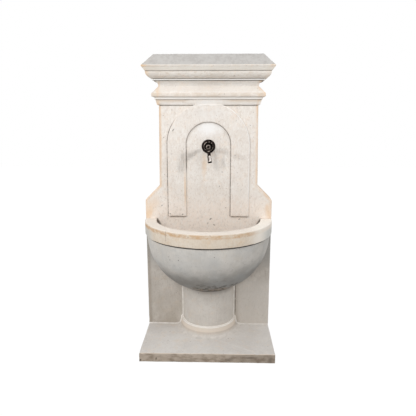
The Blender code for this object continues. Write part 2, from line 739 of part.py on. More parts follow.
def make_basin_back_joint():
    """The watertight mortar between the basin and the slabs: a band as wide as the basin's wall."""
    outer, inner = RIM_RADIUS - RAKE, MOUTH_RADIUS + RAKE
    bowl, top = BOWL_RADIUS - RAKE, RIM_TOP - RAKE
    last = math.acos((PEDESTAL_RADIUS - RAKE) / bowl)
    limb = [last * i / BOWL_STEPS for i in range(BOWL_STEPS + 1)]
    right = [(bowl * math.cos(a), BOWL_HEAD - (BOWL_DROP - RAKE) * math.sin(a)) for a in limb]
    loop = [(outer, top), (outer, RIM_FOOT), *right]
    loop += [(-x, z) for x, z in reversed(loop)]
    well = BOWL_WELL + RAKE
    loop.append((-inner, top))
    loop += [(inner * x, BOWL_HEAD + well * z) for x, z in arc((0.0, 0.0), 1.0, 180, 360, 2 * BOWL_STEPS)]
    loop.append((inner, top))
    spread, height = anchor_spread(), BOWL_HEAD - ANCHOR_DROP
    holes = [circle((side * spread, height), DOWEL_RADIUS + GAP) for side in (-1, 1)]
    place = Matrix.Translation((0.0, FACE_Y - BED / 2, 0.0)) @ FACING
    piece("basin_back_joint", outline("basin_back_joint", [loop, *holes], BED - 2 * GAP), MORTAR, place)


def anchor_spread():
    """Half the distance between the bowl's pins, which run in the middle of its wall."""
    outside = ellipse_radius(BOWL_RADIUS, BOWL_DROP, ANCHOR_DROP)
    inside = ellipse_radius(MOUTH_RADIUS, BOWL_WELL, ANCHOR_DROP)
    return (outside + inside) / 2


def make_stonework():
    base, lower, upper = make_base_slab(), make_lower_slab(), make_upper_slab()
    frieze, cap = make_frieze(), make_cap()
    bowl = make_bowl()
    make_rim()
    make_pedestal()
    make_pointing()
    make_basin_back_joint()

    slab_pins, cornice_pins = pin_holes(SLAB_DOWEL_SPACING), pin_holes(CORNICE_DOWEL_SPACING)
    bore = circle((0.0, DRAIN_Y), PEDESTAL_BORE + RAKE, FITTING_SIDES)
    foot_radius = PEDESTAL_RADIUS + FOOT_FLARE
    mortar_bed("base_bed", [chased_plan(RAKE), *slab_pins], BASE_HEIGHT)
    mortar_bed("slab_bed", [chased_plan(RAKE), *slab_pins], BOWL_HEAD)
    mortar_bed("frieze_bed", [course_plan(-RAKE), *cornice_pins], NECK_HEAD)
    mortar_bed("cap_bed", [course_plan(CAVETTO_REACH - RAKE), *cornice_pins], FRIEZE_HEAD)
    mortar_bed("pedestal_bed", [half_disc(foot_radius - RAKE), bore], BASE_HEIGHT)
    mortar_bed("bowl_bed", [half_disc(PEDESTAL_RADIUS - RAKE), bore], PEDESTAL_TOP)
    mortar_bed("rim_bed", [half_disc(BOWL_RADIUS - RAKE, MOUTH_RADIUS + RAKE)], BOWL_HEAD)

    pin_pair("base_dowel", SLAB_DOWEL_SPACING, BASE_HEIGHT + BED / 2, (base, lower))
    pin_pair("slab_dowel", SLAB_DOWEL_SPACING, BOWL_HEAD + BED / 2, (lower, upper))
    pin_pair("frieze_dowel", CORNICE_DOWEL_SPACING, NECK_HEAD + BED / 2, (upper, frieze))
    pin_pair("cap_dowel", CORNICE_DOWEL_SPACING, FRIEZE_HEAD + BED / 2, (frieze, cap))
    for side, place in (("left", -anchor_spread()), ("right", anchor_spread())):
        middle = Vector((place, FACE_Y - BED / 2, BOWL_HEAD - ANCHOR_DROP))
        pin(f"basin_anchor_{side}", middle, Vector((0.0, 1.0, 0.0)), (bowl, lower))
    return lower, upper


# Supply: the spout's axis points to the front, so what lies behind the slabs' face is negative


def hexagon(name, radius, bore, start, end, material, place, sides=RING_SIDES):
    """A nut: a hexagonal bar with a round bore."""
    nut = piece(name, rod(name, radius, start, end, 6), material, place)
    past = (Vector(end) - Vector(start)).normalized() * radius
    drill(nut, bore, Vector(start) - past, Vector(end) + past, sides, place)
    return nut


def make_nipple(place):
    """The tube through the slab, and the spigot on which the spout turns."""
    shoulder, tip = ROSETTE_DEPTH - GAP, SPIGOT_END
    groove, half = SPIGOT_RADIUS - 2 * O_RING_WIRE - GAP, O_RING_WIRE + GAP
    throat, bore_end = SCREW_SHANK_RADIUS + GAP, GALLERY_CENTRE + NIPPLE_BORE
    profile = [(throat, tip), (SPIGOT_RADIUS, tip)]
    for height in O_RING_HEIGHTS:
        profile += [(SPIGOT_RADIUS, height + half), (groove, height + half)]
        profile += [(groove, height - half), (SPIGOT_RADIUS, height - half)]
    profile += [(SPIGOT_RADIUS, shoulder), (NIPPLE_RADIUS, shoulder), (NIPPLE_RADIUS, -NIPPLE_END)]
    profile += [(NIPPLE_BORE, -NIPPLE_END), (NIPPLE_BORE, bore_end), (throat, bore_end)]
    nipple = turned("wall_nipple", profile, BRASS, place, RING_SIDES)
    across = Vector((0.0, KNUCKLE_RADIUS, 0.0))
    centre = Vector((0.0, 0.0, GALLERY_CENTRE))
    drill(nipple, WATER_HOLE_RADIUS, centre - across, centre + across, PIN_SIDES, place)
    for name, height in zip(("spout_o_ring_front", "spout_o_ring_rear"), O_RING_HEIGHTS):
        ring = ring_profile(SPIGOT_RADIUS - O_RING_WIRE, O_RING_WIRE, height, 6)
        turned(name, ring, RUBBER, place, RING_SIDES)


def make_rosette(place):
    bore = NIPPLE_RADIUS + GAP
    rings = [(ROSETTE_RADIUS * out, ROSETTE_DEPTH * up) for out, up in ROSETTE_RINGS]
    profile = [(bore, ROSETTE_DEPTH), *rings, (ROSETTE_RADIUS, GAP), (bore, GAP)]
    turned("spout_rosette", profile, BRONZE, place, ROSETTE_SIDES)


def make_knuckle(place):
    """The round body of the spout, which turns on the spigot, with its socket for the pipe."""
    front, back, bore = KNUCKLE_FRONT, KNUCKLE_BACK, SPIGOT_RADIUS + GAP
    radius, edge, collar = KNUCKLE_RADIUS, KNUCKLE_ROUND, KNUCKLE_COLLAR
    profile = [(0.0, front)] + arc((radius - edge, front - edge), edge, 90, 0, 4)
    profile += [(radius, back + 2 * collar), (radius + collar, back + collar)]
    profile += [(radius + collar, back), (0.0, back)]
    knuckle = turned("spout_knuckle", profile, BRONZE, place, FITTING_SIDES, closed=False)
    axis = Vector((0.0, 0.0, GALLERY_CENTRE))
    down = Vector((0.0, -1.0, 0.0))
    reach = axis + down * SOCKET_REACH
    socket = tool("knuckle_socket", rod("socket", SOCKET_RADIUS, axis, reach, FITTING_SIDES), place)
    work(knuckle, socket, "UNION")
    head, shank = SCREW_HEAD_RADIUS + GAP, SCREW_SHANK_RADIUS + GAP
    seat, wall = front - SCREW_HEAD_HEIGHT - GAP, front - KNUCKLE_FRONT_WALL
    high, low = GALLERY_CENTRE + GALLERY_LENGTH / 2, GALLERY_CENTRE - GALLERY_LENGTH / 2
    space = [(0.0, front + GAP), (head, front + GAP), (head, seat)]
    space += [(shank, seat), (shank, wall), (bore, wall)]
    space += [(bore, high), (KNUCKLE_GALLERY, high), (KNUCKLE_GALLERY, low), (bore, low)]
    space += [(bore, back - GAP), (0.0, back - GAP)]
    work(knuckle, turned_tool("knuckle_space", space, place, FITTING_SIDES, closed=False))
    inlet, mouth = axis + down * SPIGOT_RADIUS, axis + down * 2 * SOCKET_REACH
    drill(knuckle, SPOUT_PIPE_RADIUS - SPOUT_PIPE_WALL, inlet, mouth, FITTING_SIDES, place)
    drill(knuckle, SPOUT_PIPE_RADIUS + GAP, axis + down * PIPE_ROOT, mouth, FITTING_SIDES, place)
    return knuckle


def spout_path(past=0.0):
    """The centre line of the spout's pipe, from the knuckle to the mouth, carried past both ends if asked."""
    points = [(0.0, -(PIPE_ROOT + GAP) + past, GALLERY_CENTRE)]
    for step in range(ARC_STEPS + 1):
        angle = SPOUT_KICK * step / ARC_STEPS
        down = SPOUT_BEND_DROP + SPOUT_BEND_RADIUS * math.sin(angle)
        points.append((0.0, -down, GALLERY_CENTRE + SPOUT_BEND_RADIUS * (1 - math.cos(angle))))
    run = (SPOUT_DROP + points[-1][1]) / math.cos(SPOUT_KICK) + past
    x, y, z = points[-1]
    points.append((x, y - run * math.cos(SPOUT_KICK), z + run * math.sin(SPOUT_KICK)))
    return points


def make_spout_pipe(place):
    pipe = piece("spout_pipe", tube("spout_pipe", spout_path(), SPOUT_PIPE_RADIUS, 6), BRONZE, place)
    bore_radius = SPOUT_PIPE_RADIUS - SPOUT_PIPE_WALL
    work(pipe, tool("spout_bore", tube("spout_bore", spout_path(0.002), bore_radius, 4), place))
    mouth = Matrix.Translation(spout_path()[-1])
    back_up = Matrix.Rotation(-math.radians(90.0) - SPOUT_KICK, 4, "X")
    inner = SPOUT_PIPE_RADIUS + GAP
    outer, lip = inner + NOZZLE_WALL, inner + NOZZLE_WALL + NOZZLE_LIP
    foot = -NOZZLE_LIP
    profile = [(inner, NOZZLE_LENGTH), (outer, NOZZLE_LENGTH), (outer, foot + 4 * NOZZLE_LIP)]
    profile += [(lip, foot + 3 * NOZZLE_LIP), (lip, foot), (inner, foot)]
    nozzle = turned("spout_nozzle", profile, WORN_BRONZE, place @ mouth @ back_up, FITTING_SIDES)
    return pipe, nozzle


def make_spout_screw(place):
    """The screw in the end of the spigot, which keeps the knuckle on it and lets it turn."""
    front, head = KNUCKLE_FRONT, KNUCKLE_FRONT - SCREW_HEAD_HEIGHT
    tip, hollow = head - SCREW_SHANK_LENGTH, front - SCREW_HEAD_HEIGHT / 2
    profile = [(0.0, hollow), (SCREW_SOCKET_RADIUS, hollow)]
    profile += [(SCREW_SOCKET_RADIUS, front), (SCREW_HEAD_RADIUS, front)]
    profile += [(SCREW_HEAD_RADIUS, head), (SCREW_SHANK_RADIUS, head), (SCREW_SHANK_RADIUS, tip), (0.0, tip)]
    turned("spout_screw", profile, BRONZE, place, PIN_SIDES, closed=False)


def make_supply(lower, upper):
    wall = Matrix.Translation((0.0, FACE_Y, SPOUT_HEIGHT)) @ FACING
    make_rosette(wall)
    make_nipple(wall)
    make_spout_screw(wall)
    behind = -(CHASE_FLOOR + GAP)
    bore = NIPPLE_RADIUS + GAP
    washer = pipe_profile(NIPPLE_NUT_RADIUS, bore, behind - WASHER_THICKNESS, behind)
    turned("nipple_washer", washer, RUBBER, wall, RING_SIDES)
    nut_front = (0, 0, behind - WASHER_THICKNESS - GAP)
    nut_back = (0, 0, behind - WASHER_THICKNESS - GAP - NIPPLE_NUT_THICKNESS)
    hexagon("nipple_backnut", NIPPLE_NUT_RADIUS, bore, nut_front, nut_back, BRASS, wall)
    make_elbow(wall)

    riser = Matrix.Translation((0.0, FACE_Y + RISER_DEPTH, 0.0))
    inner = RISER_RADIUS - RISER_WALL
    upper_pipe = pipe_profile(RISER_RADIUS, inner, UNION_HEIGHT + GAP, RISER_HEAD)
    turned("supply_riser", upper_pipe, COPPER, riser, PIN_SIDES)
    lower_pipe = pipe_profile(RISER_RADIUS, inner, PIPE_END, UNION_HEIGHT - GAP)
    turned("inlet_stub", lower_pipe, COPPER, riser, PIN_SIDES)
    union_foot = (0, 0, UNION_HEIGHT - UNION_LENGTH / 2)
    union_head = (0, 0, UNION_HEIGHT + UNION_LENGTH / 2)
    hexagon("riser_union", UNION_RADIUS, RISER_RADIUS + GAP, union_foot, union_head, BRASS, riser)
    for name, height, slab in zip(("lower", "upper"), CLIP_HEIGHTS, (lower, upper)):
        make_clip(name, height, slab)


def make_elbow(wall):
    """The elbow that turns the riser's water forward into the nipple."""
    mouth, stop, corner = -(NIPPLE_NUT_BACK + 2 * GAP), -(NIPPLE_END + GAP), -RISER_DEPTH
    bore = NIPPLE_RADIUS + GAP
    profile = [(0.0, corner - NIPPLE_BORE), (ELBOW_PASSAGE, corner - NIPPLE_BORE), (ELBOW_PASSAGE, stop)]
    profile += [(bore, stop), (bore, mouth), (ELBOW_RADIUS, mouth)]
    profile += arc((0.0, corner), ELBOW_RADIUS, 0, -90, 4)[:-1] + [(0.0, corner - ELBOW_RADIUS)]
    elbow = turned("supply_elbow", profile, BRASS, wall, RING_SIDES, closed=False)
    head, foot = Vector((0.0, -ELBOW_PASSAGE - GAP, corner)), Vector((0.0, -ELBOW_DROP, corner))
    leg = rod("elbow_leg", ELBOW_LEG_RADIUS, head, foot, FITTING_SIDES)
    work(elbow, tool("elbow_leg", leg, wall), "UNION")
    up = Vector((0.0, ELBOW_DROP, 0.0))
    socket_end = foot + up.normalized() * (RISER_SOCKET + GAP)
    drill(elbow, RISER_RADIUS + GAP, foot - up, socket_end, RING_SIDES, wall)
    drill(elbow, NIPPLE_BORE, foot - up, foot + up, PIN_SIDES, wall)


def make_clip(name, height, slab):
    """A clip that holds the riser off the chase's floor, and the screw that fixes it to the stone."""
    half, radius = CLIP_WIDTH / 2, RISER_RADIUS + GAP
    centre, foot = (0.0, FACE_Y + RISER_DEPTH), FACE_Y + CHASE_FLOOR + GAP
    lip = math.degrees(CLIP_LIP_ANGLE)
    loop = arc(centre, radius, lip, lip - 360 + (180 - 2 * lip), PIN_SIDES)
    loop += [(-half, loop[-1][1]), (-half, foot), (half, foot), (half, loop[0][1])]
    at_height = Matrix.Translation((0.0, 0.0, height))
    clip = piece(f"riser_clip_{name}", outline(f"riser_clip_{name}", [loop], CLIP_RISE), PLASTIC, at_height)

    place = Matrix.Translation((0.0, FACE_Y, height)) @ FACING
    rear = -(RISER_DEPTH - RISER_RADIUS - 3 * GAP)
    under = rear + CLIP_SCREW_HEAD_HEIGHT
    tip = -(CHASE_FLOOR - CLIP_SCREW_HOLD)
    profile = [(0.0, tip), (CLIP_SCREW_RADIUS, tip), (CLIP_SCREW_RADIUS, under), (CLIP_SCREW_HEAD, under)]
    profile += [(CLIP_SCREW_HEAD, rear), (0.0, rear)]
    turned(f"clip_screw_{name}", profile, STEEL, place, PIN_SIDES, closed=False)
    past = (0, 0, -SLAB_THICKNESS)
    drill(clip, CLIP_SCREW_RADIUS + GAP, (0, 0, 0), past, PIN_SIDES, place)
    drill(clip, CLIP_SCREW_HEAD + GAP, (0, 0, under + GAP), past, PIN_SIDES, place)
    drill(slab, CLIP_SCREW_RADIUS + GAP, (0, 0, tip + GAP), past, PIN_SIDES, place)


def make_spout():
    """The spout hangs from the pivot, whose Z is the axis that it turns about."""
    place = Matrix.Translation((0.0, FACE_Y, SPOUT_HEIGHT)) @ Matrix.Rotation(-SPOUT_LEAN, 4, "Y") @ FACING
    pivot = add_object("spout_pivot", None, FOUNTAIN, place)
    pipe, nozzle = make_spout_pipe(place)
    for part in (make_knuckle(place), pipe, nozzle):
        part.parent = pivot
        part.matrix_parent_inverse = place.inverted()


def make_waste():
    """The waste in the floor of the bowl, and the pipe from it down to the ground."""
    place = Matrix.Translation((0.0, DRAIN_Y, 0.0))
    flange, tail, bore = WASTE_FLANGE_RADIUS, WASTE_TAIL_RADIUS, WASTE_BORE
    edge = WASTE_FLANGE_THICKNESS / 2
    profile = [(bore, FLANGE_TOP), (flange - edge, FLANGE_TOP)]
    profile += [(flange, FLANGE_TOP - edge), (flange, FLANGE_FOOT)]
    profile += [(tail, FLANGE_FOOT), (tail, TAIL_FOOT), (bore, TAIL_FOOT)]
    turned("waste_flange", profile, BRASS, place)
    around = tail + GAP
    gasket = pipe_profile(flange - edge, around, WASTE_SEAT + GAP, WASTE_SEAT + GAP + GASKET_THICKNESS)
    turned("waste_gasket", gasket, RUBBER, place)
    seal_foot = BOWL_SEAT - GAP - GASKET_THICKNESS
    turned("waste_seal", pipe_profile(WASTE_NUT_RADIUS, around, seal_foot, BOWL_SEAT - GAP), RUBBER, place)
    nut_top = seal_foot - GAP
    nut_foot = nut_top - WASTE_NUT_THICKNESS
    nut_ends = (0, 0, nut_foot), (0, 0, nut_top)
    hexagon("waste_backnut", WASTE_NUT_RADIUS, around, *nut_ends, BRASS, place, FITTING_SIDES)
    drain = pipe_profile(DRAIN_PIPE_RADIUS, WASTE_BORE, PIPE_END, TAIL_FOOT - 2 * GAP)
    turned("drain_pipe", drain, PLASTIC, place)
    low, high = TAIL_FOOT - COUPLING_LENGTH / 2, TAIL_FOOT + COUPLING_LENGTH / 2
    sleeve = max(WASTE_TAIL_RADIUS, DRAIN_PIPE_RADIUS) + GAP
    turned("drain_coupling", pipe_profile(COUPLING_RADIUS, sleeve, low, high), PLASTIC, place)


def make_standpipe():
    """The overflow pipe, which lifts out of the waste to empty the basin."""
    place = Matrix.Translation((0.0, DRAIN_Y, 0.0))
    spigot = WASTE_BORE - GAP
    wire = STANDPIPE_SEAL_WIRE
    collar_foot = FLANGE_TOP + 2 * wire + 2 * GAP
    collar_top = collar_foot + STANDPIPE_COLLAR_RISE
    radius, bore, top = STANDPIPE_RADIUS, STANDPIPE_RADIUS - STANDPIPE_WALL, STANDPIPE_TOP
    bead = STANDPIPE_BEAD
    profile = [(bore, top), (radius + bead, top), (radius + bead, top - 2 * bead), (radius, top - 3 * bead)]
    profile += [(radius, collar_top), (STANDPIPE_COLLAR, collar_top), (STANDPIPE_COLLAR, collar_foot)]
    foot = FLANGE_TOP - STANDPIPE_SPIGOT
    profile += [(spigot, collar_foot), (spigot, foot), (bore, foot)]
    turned("overflow_standpipe", profile, BRASS, place, RING_SIDES)
    seal = ring_profile(spigot + GAP + wire, wire, FLANGE_TOP + GAP + wire)
    turned("standpipe_seal", seal, RUBBER, place, RING_SIDES)


def settle_shapes():
    """Keeps each piece's worked shape as its mesh, with round faces shaded smooth."""
    pieces = [thing for thing in FOUNTAIN.objects if thing.type == "MESH"]
    graph = bpy.context.evaluated_depsgraph_get()
    shapes = [bpy.data.meshes.new_from_object(thing.evaluated_get(graph)) for thing in pieces]
    for thing, mesh in zip(pieces, shapes):
        mesh.shade_smooth()
        mesh.set_sharp_from_angle(angle=math.radians(30.0))
        mesh.name = thing.name
        thing.modifiers.clear()
        thing.data = mesh


lower_slab, upper_slab = make_stonework()
make_supply(lower_slab, upper_slab)
make_spout()
make_waste()
make_standpipe()
settle_shapes()
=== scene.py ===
from math import acos, ceil, cos, exp, hypot, pi, radians, sin, tan

import bmesh
import bpy
from mathutils import Matrix, Vector, noise
from mathutils.geometry import delaunay_2d_cdt


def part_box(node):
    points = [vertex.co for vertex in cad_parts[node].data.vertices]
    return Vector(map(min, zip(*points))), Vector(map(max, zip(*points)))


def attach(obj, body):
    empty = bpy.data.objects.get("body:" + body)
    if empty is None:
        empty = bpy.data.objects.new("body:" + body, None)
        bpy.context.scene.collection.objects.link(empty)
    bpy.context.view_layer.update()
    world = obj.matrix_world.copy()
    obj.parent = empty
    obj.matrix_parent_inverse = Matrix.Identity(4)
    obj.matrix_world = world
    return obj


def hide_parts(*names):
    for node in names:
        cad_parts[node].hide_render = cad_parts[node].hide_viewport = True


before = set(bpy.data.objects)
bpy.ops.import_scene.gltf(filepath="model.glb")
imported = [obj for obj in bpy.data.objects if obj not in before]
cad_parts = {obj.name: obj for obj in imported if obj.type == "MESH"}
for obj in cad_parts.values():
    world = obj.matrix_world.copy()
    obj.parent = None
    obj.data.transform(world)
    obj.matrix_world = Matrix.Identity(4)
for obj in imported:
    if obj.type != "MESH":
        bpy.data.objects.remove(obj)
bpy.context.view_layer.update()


# The base slab: one sawn piece of grey limestone that lies on the ground and carries all the rest.
# Its arrises are rubbed down by hand, and wear and the mason's chisel have left them uneven.
# The supply pipe and the waste pipe come up through two holes in it.
HALF = 0.35  # half the width of the base and of the basin
FACE, BACK = 0.12, 0.23  # front and back of the back slabs
DRAIN_Y, INLET_Y = 0.035, 0.2108  # the waste and the supply, from front to back
MERGE = 0.000002  # points closer than this are one


def srgb(red, green, blue):
    """A colour read off the stone as 0 to 255, as light."""
    return tuple(((c / 255 + 0.055) / 1.055) ** 2.4 if c > 10 else c / 255 / 12.92 for c in (red, green, blue))


def feed(value, socket):
    """Gives a node's input what other nodes work out, or a colour, or else a number or a vector."""
    if isinstance(value, Value):
        value.tree.links.new(value.socket, socket)
    else:
        socket.default_value = (*value, 1.0) if isinstance(value, tuple) else value


def new_node(tree, kind, inputs, **settings):
    node = tree.nodes.new("ShaderNode" + kind)
    for name, setting in settings.items():
        setattr(node, name, setting)
    for name, value in inputs.items():
        feed(value, node.inputs[name])
    return node


def sums(kind):
    return lambda value, other=0.0: value.sum(kind, other)


class Value:
    """What a material's nodes work out at each point. It can be used in sums like a number."""

    def __init__(self, tree, socket):
        self.tree, self.socket = tree, socket

    def sum(self, kind, other):
        return Value(self.tree, new_node(self.tree, "Math", {0: self, 1: other}, operation=kind).outputs[0])

    __mul__ = __rmul__ = sums("MULTIPLY")
    __add__ = __radd__ = sums("ADD")
    __sub__, __abs__, root = sums("SUBTRACT"), sums("ABSOLUTE"), sums("SQRT")
    most, least = sums("MAXIMUM"), sums("MINIMUM")

    def __rsub__(self, other):
        return self * -1.0 + other

    def rise(self, low, high):
        """0 below low, 1 above high and smooth between. With low above high it falls."""
        ends = {"From Min": min(low, high), "From Max": max(low, high)}
        ends.update({"To Min": float(low > high), "To Max": float(low <= high)})
        node = new_node(self.tree, "MapRange", {"Value": self, **ends}, interpolation_type="SMOOTHSTEP")
        return Value(self.tree, node.outputs[0])

    def between(self, low, high, soft):
        return self.rise(low - soft, low + soft) * self.rise(high + soft, high - soft)


class Finish:
    """A material in the making: a colour and what is laid over it, by each point's place in metres."""

    def __init__(self, name, colour, roughness=0.85, metallic=0.0):
        self.material = bpy.data.materials.new(name)
        self.material.use_nodes = True
        self.tree = self.material.node_tree
        self.shader = self.tree.nodes["Principled BSDF"]
        feed(roughness, self.shader.inputs["Roughness"])
        feed(metallic, self.shader.inputs["Metallic"])
        self.colour = srgb(*colour)
        self.bumps = {}
        self.point = Value(self.tree, new_node(self.tree, "TexCoord", {}).outputs["Object"])
        split = new_node(self.tree, "SeparateXYZ", {0: self.point})
        self.x, self.y, self.z = (Value(self.tree, socket) for socket in split.outputs)

    def pattern(self, kind, output, size, stretch, shift, **inputs):
        across = (1.0, 1.0, stretch) if isinstance(stretch, float) else stretch
        places = {"Vector": self.point, "Scale": list(across), "Location": [shift] * 3}
        vector = Value(self.tree, new_node(self.tree, "Mapping", places).outputs[0])
        node = new_node(self.tree, kind, {"Vector": vector, "Scale": 1.0 / size, **inputs})
        return Value(self.tree, node.outputs[output])

    def cloud(self, size, detail=3.0, rough=0.55, stretch=1.0, shift=0.0):
        """Soft patches about as wide as a size in metres."""
        return self.pattern("TexNoise", "Fac", size, stretch, shift, Detail=detail, Roughness=rough)

    def cells(self, size, stretch=1.0, shift=0.0):
        """Distance to the nearest of many scattered points about a size apart."""
        return self.pattern("TexVoronoi", "Distance", size, stretch, shift)

    def oval(self, across, height, slope, length, width):
        """A soft-edged oval on the front: its middle, its slope in degrees and its half-length and half-width."""
        turn = radians(slope)
        right, up = self.x - across, self.z - height
        along = right * (cos(turn) / length) + up * (sin(turn) / length)
        over = right * (-sin(turn) / width) + up * (cos(turn) / width)
        ragged = (self.cloud(0.03, 4.0, 0.65) - 0.5) * 0.9
        return ((along * along + over * over).root() + ragged).rise(1.05, 0.1)

    def mix(self, under, over, share):
        node = new_node(self.tree, "Mix", {"Factor": share, "A": under, "B": over}, data_type="RGBA")
        return Value(self.tree, node.outputs["Result"])

    def tint(self, over, share):
        """Lays a colour over what is there, by a share from 0 to 1."""
        self.colour = self.mix(self.colour, over, share)

    def stain(self, colour, share):
        self.tint(srgb(*colour), share)

    def marks(self, colour, where, *ovals):
        """Stains a number of ovals, each with its own share at its end."""
        for *oval, share in ovals:
            self.stain(colour, self.oval(*oval) * where * share)

    def relief(self, height, distance, strength=1.0):
        """Raises the surface by a height from 0 to 1, times a distance in metres."""
        heights = {"Distance": distance, "Strength": strength, "Height": height}
        bump = new_node(self.tree, "Bump", {**heights, **self.bumps})
        self.bumps = {"Normal": Value(self.tree, bump.outputs["Normal"])}

    def paint(self, **rough):
        """The finished material."""
        for name, value in {"Base Color": self.colour, **self.bumps, **rough}.items():
            feed(value, self.shader.inputs[name])
        return self.material


def limestone(name, pale, deep, warm, pits=1.0, lie=0.14):
    """Dressed limestone: cloudy, with fine grain, tool marks along its lie, pits and rust-coloured specks."""
    stone = Finish(name, pale, roughness=0.88)
    stone.stain(deep, stone.cloud(0.15, 5.0, 0.62).rise(0.36, 0.68) * 0.55)
    mottle = stone.cloud(0.02, 6.0, 0.72, shift=3.0)
    stone.stain(deep, mottle.rise(0.5, 0.68) * 0.6)
    stone.stain(warm, stone.cloud(0.045, 6.0, 0.7, shift=5.0).rise(0.5, 0.68) * 0.45)
    bloom = stone.cloud(0.013, 5.0, 0.7, 0.45, 8.0).rise(0.54, 0.7)
    stone.tint(tuple(min(1.0, c * 1.1) for c in srgb(*pale)), bloom * 0.6)
    grain = stone.cloud(0.0035, 4.0, 0.7, shift=1.0)
    stone.stain(deep, grain.rise(0.48, 0.76) * 0.45)
    drags = stone.cloud(0.0075, 3.0, 0.6, lie, 5.0)
    stone.stain(deep, drags.rise(0.52, 0.72) * 0.4)
    ragged = (stone.cloud(0.007, 4.0, 0.75, shift=4.0) - 0.5) * 0.45
    sparse = stone.cloud(0.045, 3.0, shift=7.0).rise(0.46, 0.6)
    holes = (stone.cells(0.026, shift=2.0) + ragged).rise(0.14, 0.02) * sparse * pits
    specks = (stone.cells(0.0125, shift=9.0) + ragged).rise(0.2, 0.02)
    specks = specks * stone.cloud(0.05, 3.0, shift=4.0).rise(0.48, 0.6) * (0.55 * pits)
    stone.stain((164, 138, 114), specks)
    stone.stain((112, 97, 84), holes * 0.7)
    stone.relief(stone.cloud(0.045, 3.0, shift=6.0), 0.0016, 0.5)
    stone.relief(mottle, 0.001, 0.5)
    stone.relief(drags, 0.0005, 0.6)
    stone.relief(grain, 0.0004, 0.7)
    stone.relief((holes + specks) * -1.0, 0.0012, 0.8)
    return stone, stone.x, stone.y, stone.z


def inset(outline, distance):
    """A closed outline, counterclockwise, drawn in by a distance."""
    moved = []
    for i, point in enumerate(outline):
        before, after = Vector(outline[i - 1]), Vector(outline[(i + 1) % len(outline)])
        here = Vector(point)
        back, ahead = (here - before).normalized(), (after - here).normalized()
        left = Vector((-back.y - ahead.y, back.x + ahead.x)).normalized()
        lean = max(left.dot(Vector((-ahead.y, ahead.x))), 0.3)
        moved.append(here + left * distance / lean)
    return moved


def stepped(corners, step, closed=True):
    """Points no further apart than a step along straight runs."""
    points = []
    ends = corners[1:] + corners[:1] if closed else corners[1:]
    for start, end in zip(corners, ends):
        start, end = Vector(start), Vector(end)
        count = max(1, ceil((end - start).length / step))
        points += [start.lerp(end, i / count) for i in range(count)]
    if not closed:
        points.append(Vector(corners[-1]))
    return points


def ring_of(shape, points):
    return [shape.verts.new(point) for point in points]


def skin(shape, rings, closed=True):
    for low, high in zip(rings, rings[1:]):
        for i in range(len(low) - (0 if closed else 1)):
            j = (i + 1) % len(low)
            shape.faces.new((low[i], low[j], high[j], high[i]))


def bar(rings):
    """A shape skinned over rings of points and closed at both ends."""
    shape = bmesh.new()
    rings = [ring_of(shape, ring) for ring in rings]
    skin(shape, rings)
    shape.faces.new(rings[0])
    shape.faces.new(rings[-1])
    return shape


def block(plan, lines):
    """A slab with a plan, which each line (inset, height) draws in at a height."""
    return bar([(*p, height) for p in inset(plan, draw_in)] for draw_in, height in lines)


def quarter(steps):
    """The angles from 0 to 90 degrees in even steps."""
    return [radians(90.0 * i / steps) for i in range(steps + 1)]


def arris_steps(radius, steps=4):
    """How far each step round an arris is drawn in, and how far it lies from the face: (inset, depth)."""
    return [(radius * (1 - sin(a)), radius * (1 - cos(a))) for a in quarter(steps)]


def rub(shape, wear, swell, shift=0.0):
    """Makes a stone's faces slightly uneven, and wears its arrises back by uneven amounts, with a few chips."""
    bmesh.ops.recalc_face_normals(shape, faces=shape.faces)
    shape.normal_update()
    away = Vector((shift, -shift, 2 * shift))
    moves = []
    for vert in shape.verts:
        place = vert.co + away
        bend = max((edge.calc_face_angle(0.0) for edge in vert.link_edges), default=0.0)
        edgewise = min(bend / 0.35, 1.0)
        slow, quick = noise.noise(place * 11.0), noise.noise(place * 47.0)
        chip = max(0.0, noise.noise(place * 31.0 + away) - 0.38)
        worn = edgewise * (wear * max(0.0, 0.4 + slow + 0.6 * quick) + 0.012 * chip)
        moves.append(vert.normal * (swell * (slow + 0.25 * quick) - worn))
    for vert, move in zip(shape.verts, moves):
        vert.co += move


def placed(name, shape):
    mesh = bpy.data.meshes.new(name)
    shape.to_mesh(mesh)
    shape.free()
    piece = bpy.data.objects.new(name, mesh)
    bpy.context.scene.collection.objects.link(piece)
    return piece


def carved(name, shape, material, body, slot, *stands_for, wear=None, flat_under=28.0):
    """The finished shape as a piece of the fountain."""
    if wear:
        rub(shape, *wear)
    bmesh.ops.recalc_face_normals(shape, faces=shape.faces)
    piece = placed(name, shape)
    piece.data.shade_smooth()
    piece.data.set_sharp_from_angle(angle=radians(flat_under))
    piece.data.materials.append(material)
    if stands_for:
        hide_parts(*stands_for)
    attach(piece, body)
    return piece


def drum(name, radius, start, end, sides=48):
    """A plain cylinder between two points, to cut with."""
    start, end = Vector(start), Vector(end)
    turn = Vector((0.0, 0.0, 1.0)).rotation_difference(end - start).to_matrix().to_4x4()
    size = {"segments": sides, "radius1": radius, "radius2": radius, "depth": (end - start).length}
    shape = bmesh.new()
    bmesh.ops.create_cone(shape, cap_ends=True, matrix=Matrix.Translation((start + end) / 2) @ turn, **size)
    return placed(name, shape)


def bored(piece, *cutters):
    """Cuts shapes out of a piece and keeps the result as its mesh."""
    for cutter in cutters:
        cut = piece.modifiers.new(cutter.name, "BOOLEAN")
        cut.operation = "DIFFERENCE"
        cut.solver = "EXACT"
        cut.object = cutter
    bpy.context.view_layer.update()
    graph = bpy.context.evaluated_depsgraph_get()
    mesh = bpy.data.meshes.new_from_object(piece.evaluated_get(graph))
    piece.modifiers.clear()
    piece.data = mesh
    for cutter in cutters:
        bpy.data.objects.remove(cutter, do_unlink=True)


